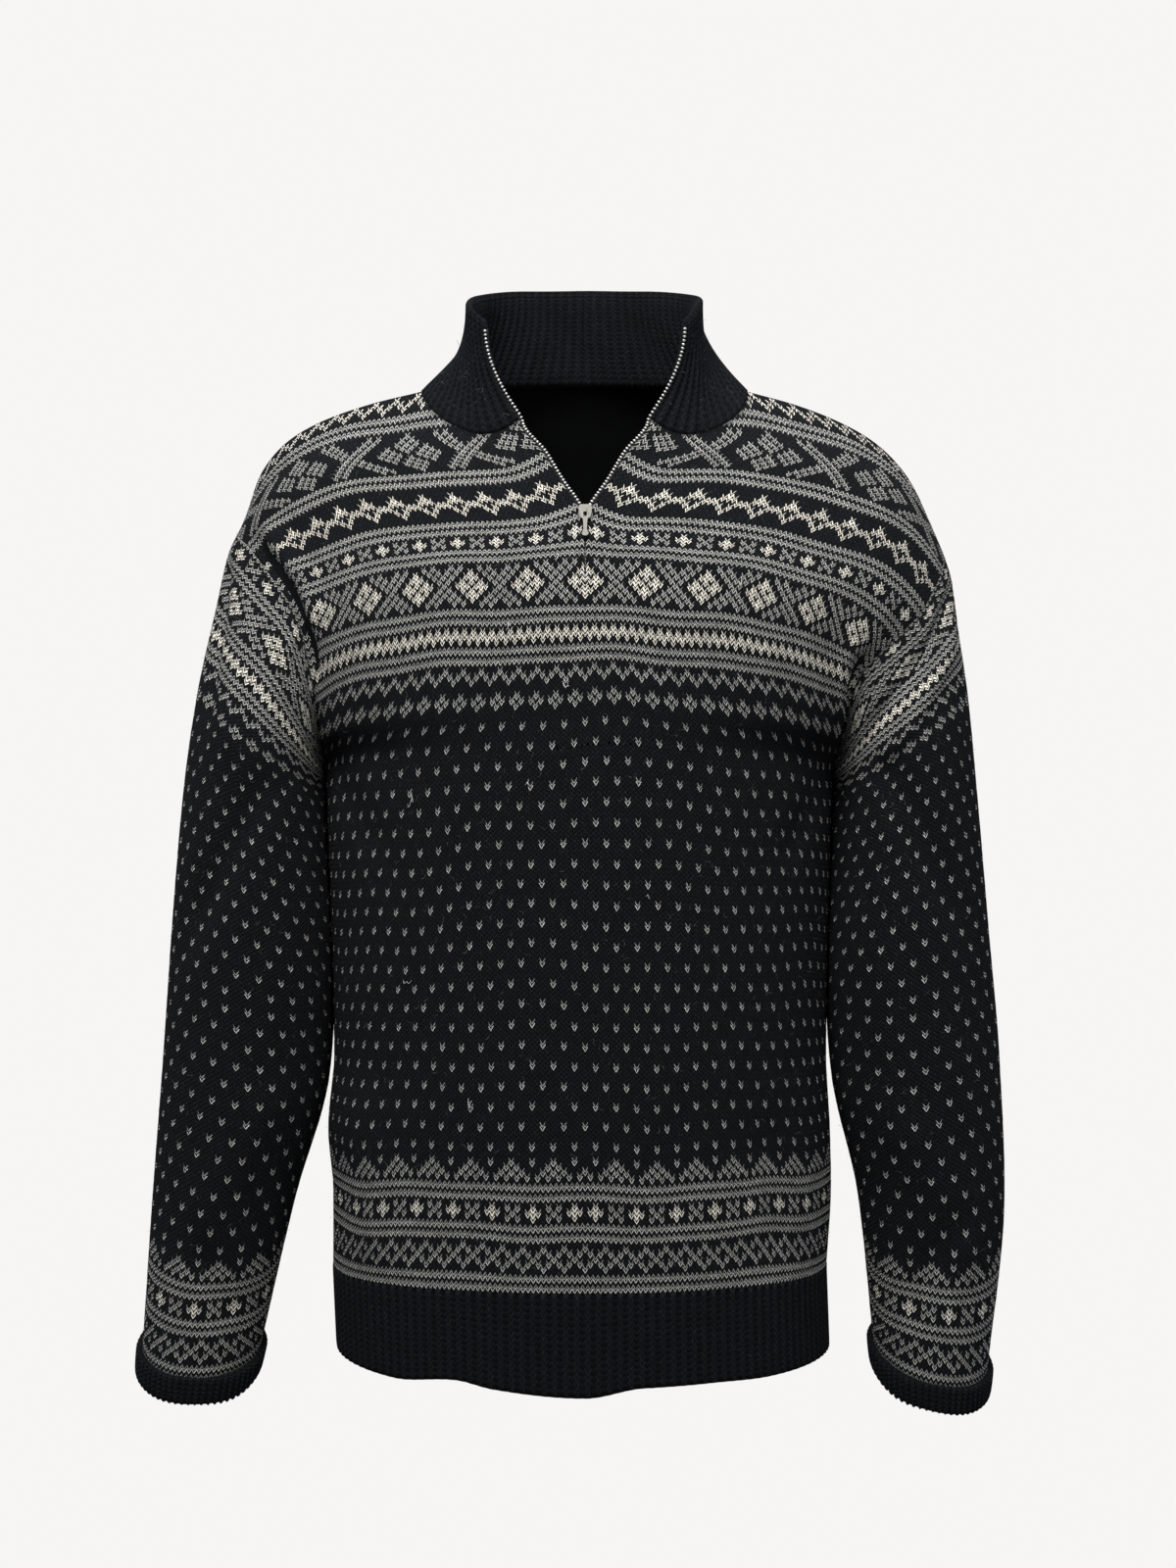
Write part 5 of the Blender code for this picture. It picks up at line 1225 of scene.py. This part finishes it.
# %% Collar
def knit_collar(name):
    """The doubled stand collar: up the outside, over a soft fold and down the inside, ribbed all the way."""
    half = COLLAR_MIDDLE
    shares = np.arange(half + 1) / half
    heights = np.linspace(0, 1, COLLAR_ROWS + 1)
    minus, plus = (collar_grid(side, heights, shares) for side in ("minus", "plus"))
    plain = np.concatenate([minus, plus[:, ::-1][:, 1:]], 1)
    plain[:, half, 0] = 0.0
    # Soft unevenness: the collar leans and buckles a little between zip and shoulder
    k = np.arange(plain.shape[1])
    around = k / (2 * half)
    up = heights[:, None]
    out = collar_normals(plain)
    lean = 0.0016 * np.sin(around[None, :] * 17 + 0.7) * up**1.5 + 0.0012 * np.sin(
        around[None, :] * 41 + up * 3) * np.sin(up * np.pi)
    ends = np.clip(np.minimum(k, 2 * half - k) / 30.0, 0, 1)[None, :]
    plain = plain + out * (lean * ends)[:, :, None]
    out = collar_normals(plain)
    profile = RIB_PROFILE[k % RIB_COLUMNS]
    thick = COLLAR_WALL * np.interp(heights, [0, 0.15, 0.42, 0.88, 1], [0.86, 1, 1, 0.95, 0.72])
    foot = np.clip(heights * COLLAR_ROWS / 1.5, 0, 1)
    outer = plain + out * (profile[None, :] * 1.15)[:, :, None]
    outer[0] += unit(outer[1] - outer[0]) * 0.0004
    inner = plain - out * (thick[:, None] + profile[None, :] * 0.8 * foot[:, None])[:, :, None]
    # Its inner side reaches down past the seam and covers the panels' edge
    inner[0] -= unit(inner[1] - inner[0]) * 0.0026
    top, rise = plain[-1], unit(plain[-1] - plain[-2])
    bow = []
    for angle in np.radians([35, 65, 90, 115, 145]):
        across = thick[-1] / 2 * (1 - np.cos(angle))
        height = 0.0023 * np.sin(angle)
        bow.append(top - out[-1] * across + rise * height + out[-1] * (profile * np.cos(angle))[:, None])
    sections = np.concatenate([outer, np.array(bow), inner[::-1]])
    drop = RIB_DROP[k % RIB_COLUMNS][None, :] * 0.0032
    moved = np.zeros_like(sections)
    moved[1:-1] = unit(sections[2:] - sections[:-2])
    moved[COLLAR_ROWS - 1:COLLAR_ROWS + 8] *= 0.3
    sections = sections + moved * drop[:, :, None]
    places = rib_places(len(k), np.arange(len(sections)))
    ring_or_strip(name + "_knit", sections, False, places, name,
                  roll=0.0016)
    return sections


COLLAR_SECTIONS = knit_collar("collar")

# %% [markdown]
# ## Repeated small pieces
# Zip teeth, seam stitches and loose wool fibres are all one thing: a small piece at every one of many
# places, lying along one direction and facing out along another. One Geometry Nodes group does that.

# %% A piece at every place
def repeat_group():
    group = bpy.data.node_groups.new("Piece at every place", "GeometryNodeTree")
    sockets = group.interface.new_socket
    sockets("Geometry", in_out="INPUT", socket_type="NodeSocketGeometry")
    for label, kind in (("Piece", "Object"), ("Least size", "Float"), ("Largest size", "Float"),
                        ("Seed", "Int"), ("Material", "Material")):
        sockets(label, in_out="INPUT", socket_type="NodeSocket" + kind)
    sockets("Geometry", in_out="OUTPUT", socket_type="NodeSocketGeometry")
    new, link = group.nodes.new, group.links.new
    given, result = new("NodeGroupInput"), new("NodeGroupOutput")
    info, placed = new("GeometryNodeObjectInfo"), new("GeometryNodeInstanceOnPoints")
    turn, size = new("FunctionNodeAxesToRotation"), new("FunctionNodeRandomValue")
    turn.primary_axis, turn.secondary_axis = "Z", "X"
    size.data_type = "FLOAT"
    for name, socket in (("out", "Primary Axis"), ("along", "Secondary Axis")):
        read = new("GeometryNodeInputNamedAttribute")
        read.data_type = "FLOAT_VECTOR"
        read.inputs["Name"].default_value = name
        link(read.outputs["Attribute"], turn.inputs[socket])
    numbers = [s for s in size.inputs if s.enabled]
    link(given.outputs["Least size"], numbers[0])
    link(given.outputs["Largest size"], numbers[1])
    link(given.outputs["Seed"], size.inputs["Seed"])
    link(given.outputs["Geometry"], placed.inputs["Points"])
    link(given.outputs["Piece"], info.inputs["Object"])
    link(info.outputs["Geometry"], placed.inputs["Instance"])
    link(turn.outputs["Rotation"], placed.inputs["Rotation"])
    link([s for s in size.outputs if s.enabled][0], placed.inputs["Scale"])
    real, paint = new("GeometryNodeRealizeInstances"), new("GeometryNodeSetMaterial")
    link(placed.outputs["Instances"], real.inputs["Geometry"])
    link(real.outputs["Geometry"], paint.inputs["Geometry"])
    link(given.outputs["Material"], paint.inputs["Material"])
    link(paint.outputs["Geometry"], result.inputs["Geometry"])
    return group


REPEAT = repeat_group()
print("nodes of the group:", len(REPEAT.nodes))

# %% Small pieces and threads
def plain_mesh(name, points, faces, made_of=None, smooth=True):
    mesh = bpy.data.meshes.new(name)
    mesh.from_pydata([tuple(map(float, p)) for p in points], [], [tuple(map(int, f)) for f in faces])
    mesh.update()
    if smooth and faces:
        mesh.shade_smooth()
    if made_of:
        mesh.materials.append(made_of)
    made = bpy.data.objects.new(name, mesh)
    bpy.context.scene.collection.objects.link(made)
    return made


def repeated(name, places, along_by, out_by, piece, least, largest, seed, made_of, *nodes):
    """A plain mesh of the piece at every place, which rides with the sweater."""
    holder = plain_mesh(name + "_places", places, [])
    for label, values in (("along", along_by), ("out", out_by)):
        column = holder.data.attributes.new(label, "FLOAT_VECTOR", "POINT")
        column.data.foreach_set("vector", np.asarray(values, np.float32).ravel())
    live = holder.modifiers.new("pieces", "NODES")
    live.node_group = REPEAT
    wanted = {"Piece": piece, "Least size": float(least), "Largest size": float(largest), "Seed": seed,
              "Material": made_of}
    for socket in REPEAT.interface.items_tree:
        if socket.in_out == "INPUT" and socket.name in wanted:
            live[socket.identifier] = wanted[socket.name]
    view = bpy.context.evaluated_depsgraph_get()
    mesh = bpy.data.meshes.new_from_object(holder.evaluated_get(view))
    bpy.data.objects.remove(holder, do_unlink=True)
    bpy.data.objects.remove(piece, do_unlink=True)
    made = bpy.data.objects.new(name, mesh)
    bpy.context.scene.collection.objects.link(made)
    mesh.calc_loop_triangles()
    print(f"{name}: {len(places)} pieces, {len(mesh.loop_triangles)} triangles")
    if nodes:
        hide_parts(*nodes)
    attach(made, "sweater")
    return made


def tube(points, radius, sides=6):
    """Corners and faces of a tube along points, with pointed ends."""
    points = np.asarray(points, float)
    run = unit(np.gradient(points, axis=0))
    side = unit(np.cross(run, [0.31, 0.22, 0.93]))
    other = np.cross(run, side)
    turn = np.arange(sides) * 2 * np.pi / sides
    thick = radius * np.concatenate([[0.35], np.ones(len(points) - 2), [0.35]])
    ring = side[:, None] * np.cos(turn)[None, :, None] + other[:, None] * np.sin(turn)[None, :, None]
    corners = (points[:, None] + ring * thick[:, None, None]).reshape(-1, 3)
    faces = []
    for r in range(len(points) - 1):
        for i in range(sides):
            a, b = r * sides + i, r * sides + (i + 1) % sides
            faces.append([a, a + sides, b + sides, b])
    faces += [list(range(sides)), [len(corners) - 1 - i for i in range(sides)]]
    return corners, faces


def bead(name, rx, ry, rz, rings=4, sides=7):
    """A rounded bead, for a tooth or a stitch."""
    corners, faces = [(0, 0, -rz)], []
    for r in range(1, rings):
        a = -np.pi / 2 + np.pi * r / rings
        for s in range(sides):
            b = 2 * np.pi * s / sides
            corners.append((rx * np.cos(a) * np.cos(b), ry * np.cos(a) * np.sin(b), rz * np.sin(a)))
    corners.append((0, 0, rz))
    last = len(corners) - 1
    for s in range(sides):
        t = (s + 1) % sides
        faces.append((0, 1 + t, 1 + s))
        faces.append((last, last - sides + s, last - sides + t))
        for r in range(rings - 2):
            a, b = 1 + r * sides + s, 1 + r * sides + t
            faces.append((a, b, b + sides, a + sides))
    return plain_mesh(name, corners, faces)


print("a straight thread:", len(tube([(0, 0, 0), (0, 0, 1), (0, 0, 2)], 0.1)[1]), "faces")

# %% [markdown]
# ## Zip
# Each half is a woven tape sewn behind the cloth's edge, with a row of metal teeth that stands just past
# that edge. Above the slider the halves part and follow the open neck up to the collar's top.

# %% Metal and tape cloth
def metal(name, colour, rough):
    made, tree, shader = material_base(name)
    worn = mix(tree, noise(tree, 900.0, 3.0), tuple(0.72 * v for v in colour), colour)
    tree.links.new(worn, shader.inputs["Base Color"])
    rough_at = math(tree, "ADD", math(tree, "MULTIPLY", noise(tree, 1400.0, 2.0), 0.25), rough - 0.1)
    tree.links.new(rough_at, shader.inputs["Roughness"])
    shader.inputs["Metallic"].default_value = 1.0
    return made


NICKEL = metal("worn_nickel", (0.120, 0.115, 0.104), 0.40)
TEETH_METAL = metal("zip_teeth_metal", (0.80, 0.78, 0.73), 0.40)
TAPE, tape_tree, tape_shader = material_base("zip_tape_cloth")
weave = noise(tape_tree, 3000.0, 1.0, 0.5, (1.0, 1.0, 0.3))
tape_tree.links.new(mix(tape_tree, weave, (0.016, 0.016, 0.017), (0.05, 0.05, 0.052)),
                    tape_shader.inputs["Base Color"])
tape_shader.inputs["Roughness"].default_value = 0.85
print("materials:", NICKEL.name, TEETH_METAL.name, TAPE.name)

# %% The zip's path
ZIP_FOOT_ROW = -10.8
ZIP_CLOSED_ROW = -21.0  # the slider's row: above it the halves part
ZIP_HIDDEN_ROW = -23.0  # below it the tape lies behind the cloth
ZIP_TOP = 0.96          # share of the collar's height
COLLAR_STEPS = 30
TOOTH_PITCH = 0.0029
TAPE_WIDTH = 0.0070
TAPE_THICK = 0.0008


def zip_path(side):
    """Points of the zip's edge from its foot to its top, the way out of the cloth and the way into it."""
    sign = SIGN[side]
    rows = np.linspace(ZIP_FOOT_ROW, NECK_ROW + 0.2, 60)
    grid = lattice("front", side, np.array([0.0, 0.02, 0.04]))
    out = normals(grid) * sign
    places = [at_rows(g, np.repeat(rows[:, None], 3, 1)) for g in (grid, out)]
    place, facing = places[0][:, 0], unit(places[1][:, 0])
    into = unit(places[0][:, 1] - places[0][:, 0])
    heights = np.linspace(0.04, ZIP_TOP, COLLAR_STEPS)
    whole = collar_grid(side, heights, np.array([0.0, 0.02, 0.04]))
    collar_out = normals(whole)[:, 0] * sign
    collar_into = unit(whole[:, 1] - whole[:, 0])
    if (collar_out[0] * facing[-1]).sum() < 0:
        collar_out = -collar_out
    opened = np.clip((ZIP_CLOSED_ROW - rows) / 1.6, 0, 1)
    behind = np.clip((rows - ZIP_HIDDEN_ROW) / 1.5, 0, 1)
    place = np.concatenate([place, whole[:, 0]])
    facing = np.concatenate([facing, collar_out])
    into = np.concatenate([into, collar_into])
    opened = np.concatenate([opened, np.ones(COLLAR_STEPS)])
    behind = np.concatenate([behind, np.zeros(COLLAR_STEPS)])
    for values in (facing, into):
        for _ in range(3):
            values[1:-1] = unit(values[:-2] + 2 * values[1:-1] + values[2:])
    run = unit(np.gradient(place, axis=0))
    off = unit(run * (into * run).sum(1)[:, None] - into)
    facing = unit(facing - run * (facing * run).sum(1)[:, None])
    off = unit(off - facing * (off * facing).sum(1)[:, None])
    return place, facing, off, run, opened, behind


print("zip from foot to top:", np.round(zip_path("plus")[0][[0, -1]], 3).tolist())

# %% Tapes and teeth
def zip_side(side, name):
    """One half of the zip: its tape and its row of teeth."""
    place, out, off, run, opened, behind = zip_path(side)
    sign = SIGN[side]
    under = -(WALL + 0.0004)
    rings = []
    for i in range(0, len(place), 2):
        reach = 0.0012 * opened[i]
        lift = -0.0014 * (1 - behind[i]) + under * behind[i]
        section = ((-TAPE_WIDTH, under - TAPE_THICK), (-TAPE_WIDTH, under), (reach - 0.0011, under),
                   (reach - 0.0010, lift), (reach, lift - 0.0001), (reach + 0.0001, under - TAPE_THICK))
        ring = np.array([place[i] + off[i] * a + out[i] * b for a, b in section])
        ring[:, 0] = sign * np.maximum(sign * ring[:, 0], 0.00015)
        rings.append(ring)
    rings = np.array(rings)
    count, corners = rings.shape[:2]
    index = np.arange(count * corners).reshape(count, corners)
    index = np.hstack([index, index[:, :1]])
    blocks = [(span_faces(index), 0.0), (index[:1, :-1], 0.0), (index[-1:, :-1][:, ::-1], 0.0)]
    tape = mesh_object(name + "_tape", rings.reshape(-1, 3), blocks, TAPE, weld=False)
    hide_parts(name)
    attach(tape, "sweater")
    reach = lengths(place)
    at = np.arange(0.001 if side == "plus" else 0.001 + TOOTH_PITCH / 2, reach[-1] - 0.001, TOOTH_PITCH)
    spots, off_at, out_at, run_at = (on_path(values, reach, at) for values in (place, off, out, run))
    push = 0.0021 * np.interp(at, reach, opened) - 0.0002
    sunk = -0.0005 - 0.0032 * np.interp(at, reach, behind)
    spots = spots + off_at * push[:, None] + out_at * sunk[:, None]
    spots[:, 0] = sign * np.maximum(sign * spots[:, 0], 0.0009)
    tooth = bead("tooth", 0.00112, 0.00150, 0.00125)
    teeth = repeated(name + "_teeth", spots, unit(run_at), unit(out_at), tooth, 0.97, 1.03, 4,
                     TEETH_METAL, name)


zip_side("minus", "zip_right")
zip_side("plus", "zip_left")

# %% [markdown]
# ## Slider and pull tab
# Both are cast metal and show as the CAD made them. Years of use have rounded their edges a little.

# %% Slider and pull tab
for name in ("zip_slider", "zip_pull"):
    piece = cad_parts[name]
    piece.data.materials.clear()
    piece.data.materials.append(NICKEL)
    edges = piece.modifiers.new("worn edges", "BEVEL")
    edges.width, edges.segments, edges.limit_method = 0.00022, 2, "ANGLE"
    print(name, "keeps its CAD form, edges rounded by", edges.width)

# %% [markdown]
# ## Seams
# Sleeves and collar are sewn on with the same charcoal wool, in small slanted stitches.

# %% Seams
SEAM_PITCH = 0.0036


def seam_stitches(name, path, out, lift, seed, lean=0.5):
    """Small slanted stitches along a seam."""
    reach = lengths(path)
    at = np.arange(0.001, reach[-1], SEAM_PITCH)
    spots, facing = on_path(path, reach, at), unit(on_path(out, reach, at))
    run = unit(np.gradient(spots, axis=0))
    run = unit(run + np.cross(facing, run) * lean)
    stitch = bead("stitch", 0.0021, 0.00075, 0.00045, 3, 6)
    made = repeated(name, spots + facing * lift, run, facing, stitch, 0.85, 1.15, seed, RIB)


for label, surface, out in (("right", RIGHT_SURFACE, RIGHT_OUT), ("left", LEFT_SURFACE, LEFT_OUT)):
    seam_stitches(f"armhole_seam_{label}", surface[0, 6:-6], out[0, 6:-6], -0.0004, 21)
foot = COLLAR_SECTIONS[1]
foot_out = unit(foot - COLLAR_SECTIONS[-2])
seam_stitches("collar_seam", foot[8:-8], foot_out[8:-8], -0.0006, 23, lean=0.3)

# %% [markdown]
# ## Wear
# A worn sweater has a few pulled threads, a loose fibre and pale flecks of fluff on its front, and a bar of
# pale thread is sewn across the zip's foot. Each thread is a thin tube that follows the cloth.

# %% Pulled threads and fluff
def front_point(stitch, row, lift=0.0006):
    """A point just off the front, by stitch from the middle (negative on -X) and row."""
    side = "minus" if stitch < 0 else "plus"
    outer, out = FRONT_HALVES[side][:2]
    i = int(round(row - TOP_ROW + 0.5))
    j = int(round(abs(stitch) * STITCH_COLUMNS))
    return outer[i, j] + out[i, j] * lift


FLUFF, _, fluff_shader = material_base("pale_fluff")
fluff_shader.inputs["Base Color"].default_value = (0.62, 0.62, 0.60, 1.0)
fluff_shader.inputs["Roughness"].default_value = 0.9

# Wear on the front: stitch, row, turn in degrees, length in mm, curl, how many threads
WEAR = (
    (-16.3, 1.0, 100, 8.0, 0.5, 5),
    (-4.0, 13.2, 15, 7.0, 0.3, 3),
    (-10.3, 32.5, 60, 5.0, 1.2, 6),
    (-33.5, 35.0, 20, 11.0, 0.8, 2),
    (-35.5, 71.8, 5, 12.0, 0.3, 1),
    (-5.4, -13.0, 70, 7.0, 1.0, 4),
    (3.5, -14.0, 120, 4.0, 0.8, 2),
    (31.0, -9.5, 40, 6.0, 1.4, 2),
    (12.0, 55.0, 160, 4.0, 0.9, 1),
    (-22.0, 96.0, 35, 4.5, 1.1, 1),
)


def threads(name, lines):
    """One mesh of pale threads, each given by its points, its thickness and its number of sides."""
    corners, faces = [], []
    for points, radius, sides in lines:
        some, around = tube(points, radius, sides)
        faces += [[v + len(corners) for v in f] for f in around]
        corners += list(some)
    made = plain_mesh(name, corners, faces, FLUFF)
    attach(made, "sweater")
    print(name + ":", len(lines), "threads")


def worn_threads():
    """Threads and flecks of the table above, each turned and bent a little differently."""
    rng = np.random.RandomState(31)
    lines = []
    for stitch, row, turn, length, curl, count in WEAR:
        for _ in range(count):
            angle = np.radians(turn + rng.uniform(-40, 40) * (count > 1))
            t = np.linspace(-0.5, 0.5, 9)
            bend = curl * t + 0.4 * np.sin(t * 6 + rng.uniform(0, 6)) * curl
            size = length * 0.001 * rng.uniform(0.5, 1.0)
            dx, dz = np.cos(angle + bend) * t * size, np.sin(angle + bend) * t * size
            points = [front_point(stitch + x / STITCH + rng.uniform(-0.1, 0.1), row - z / ROW,
                                  0.0007 + 0.0009 * np.sin((s + 0.5) * np.pi)) for x, z, s in zip(dx, dz, t)]
            points = np.array(points)
            points[1:-1] = (points[:-2] + 2 * points[1:-1] + points[2:]) / 4
            lines.append((points, rng.uniform(0.00012, 0.00026), 5))
    threads("pulled_threads_and_fluff", lines)


worn_threads()

# %% Bar tack
def bar_tack():
    """A few turns of pale thread across the zip's foot."""
    lines = []
    for k in range(4):
        row = -9.6 + 0.22 * k
        points = [front_point(s, row, 0.0009 - 0.0004 * s * s) for s in np.linspace(-0.9, 0.9, 7)]
        points = np.array(points) + [0, 0, 0.00012 * (k % 2)]
        points[:, 2] += -0.0004 * k
        lines.append((points, 0.00026, 6))
    threads("zip_foot_bar_tack", lines)


bar_tack()

# %% [markdown]
# ## Loose fibres
# Wool is never smooth: single fibres stand off all over it. They are flat strips, because a fibre is far
# thinner than what can be seen of its form.

# %% Loose fibres
HALO_DENSITY = 0.016    # fibres for each point of the knit
COLLAR_FIBRES = 350
FIBRE, fibre_tree, fibre_shader = material_base("loose_wool_fibre")
tint = mix(fibre_tree, noise(fibre_tree, 400.0, 1.0), (0.035, 0.036, 0.040), (0.20, 0.19, 0.175))
fibre_tree.links.new(tint, fibre_shader.inputs["Base Color"])
fibre_shader.inputs["Roughness"].default_value = 0.9


def fibre_piece():
    """One curved wool fibre, lying along X and rising a little."""
    t = np.linspace(0, 1, 4)
    spine = np.stack([t * 0.0034, 0.0009 * np.sin(t * 2.6), 0.0011 * t**1.4], 1)
    wide = 0.00005
    corners = np.concatenate([spine + [0, wide, 0], spine - [0, wide, 0]])
    faces = [(i, i + 1, i + 5, i + 4) for i in range(3)]
    return plain_mesh("fibre", corners, faces)


def wool_halo():
    """Loose fibres all over the knit, each at a random point and in a random direction."""
    rng = np.random.RandomState(41)
    spots, facing = [], []
    sources = [(h[0], h[1]) for halves in (FRONT_HALVES, BACK_HALVES) for h in halves.values()]
    sources += [(RIGHT_SURFACE, RIGHT_OUT), (LEFT_SURFACE, LEFT_OUT)]
    for outer, out in sources:
        count = int(outer.shape[0] * outer.shape[1] * HALO_DENSITY)
        i, j = rng.randint(2, outer.shape[0] - 2, count), rng.randint(0, outer.shape[1], count)
        spots.append(outer[i, j])
        facing.append(out[i, j])
    sections = COLLAR_SECTIONS[:COLLAR_ROWS]
    out = collar_normals(sections)
    i = rng.randint(1, COLLAR_ROWS - 1, COLLAR_FIBRES)
    j = rng.randint(0, sections.shape[1], COLLAR_FIBRES)
    spots.append(sections[i, j])
    facing.append(out[i, j])
    spots, facing = np.concatenate(spots), unit(np.concatenate(facing))
    way = unit(rng.randn(len(spots), 3))
    way = unit(way - facing * (way * facing).sum(1)[:, None])
    facing = unit(facing + 0.25 * rng.randn(len(spots), 3))
    made = repeated("wool_halo", spots, way, facing, fibre_piece(), 0.5, 1.5, 6, FIBRE)


wool_halo()

# %% [markdown]
# ## Setting
# Pale floor and backdrop in one tone, soft light from the front, and the camera where the photo was taken.

# %% Floor
BACKDROP = (0.930, 0.915, 0.905)
floor_material, floor_tree, _ = material_base("pale_floor")
glow = floor_tree.nodes.new("ShaderNodeEmission")
seen = floor_tree.nodes.new("ShaderNodeLightPath").outputs["Is Camera Ray"]
floor_tree.links.new(mix(floor_tree, seen, (0.10, 0.10, 0.10), BACKDROP), glow.inputs["Color"])
floor_tree.links.new(glow.outputs[0], floor_tree.nodes["Material Output"].inputs["Surface"])
floor = plain_mesh("floor", [(-40, -40, -1.45), (40, -40, -1.45), (40, 40, -1.45), (-40, 40, -1.45)],
                   [(0, 1, 2, 3)], floor_material)
print("floor at z", floor.data.vertices[0].co.z)

# %% Room light
scene = bpy.context.scene
world = bpy.data.worlds.new("pale_room")
scene.world = world
world.use_nodes = True
# The backdrop is pale, and the room's light comes mostly from above
room = world.node_tree
way = room.nodes.new("ShaderNodeSeparateXYZ")
room.links.new(room.nodes.new("ShaderNodeTexCoord").outputs["Generated"], way.inputs[0])
height = math(room, "ADD", math(room, "MULTIPLY", way.outputs[2], 0.75), 0.45, clamp=True)
light = mix(room, height, (0.055, 0.058, 0.064), (0.58, 0.61, 0.67))
seen = room.nodes.new("ShaderNodeLightPath").outputs["Is Camera Ray"]
room.links.new(mix(room, seen, light, BACKDROP), room.nodes["Background"].inputs[0])
print("world:", world.name)

# %% Soft lights
def soft_light(name, place, aim, size, power):
    """A round area light at a place, aimed at a point."""
    data = bpy.data.lights.new(name, "AREA")
    data.shape, data.size, data.energy = "DISK", size, power
    data.color = (1.0, 0.99, 0.97)
    made = bpy.data.objects.new(name, data)
    made.location = place
    way = np.array(aim, float) - np.array(place, float)
    tilt = np.arctan2(np.hypot(way[0], way[1]), -way[2])
    made.rotation_euler = (tilt, 0.0, np.arctan2(way[1], way[0]) - np.pi / 2)
    scene.collection.objects.link(made)
    print(f"{name} light: {power} W at {place}")


soft_light("key", (-0.35, -1.3, 1.6), (0, 0, -0.3), 1.2, 56)
soft_light("fill", (1.2, -1.8, 0.5), (0, 0, -0.35), 1.4, 8)

# %% Camera
camera = bpy.data.objects.new("camera", bpy.data.cameras.new("camera"))
scene.collection.objects.link(camera)
camera.location = (0.002, -2.07, -0.053)
camera.rotation_euler = (np.radians(90 - 6.7), 0.0, 0.0)
camera.data.lens = 63.0
camera.data.sensor_width = 36.0
camera.data.dof.use_dof = False
scene.camera = camera
scene.view_settings.view_transform = "Standard"
print("camera:", [round(v, 3) for v in camera.location], "lens", camera.data.lens)
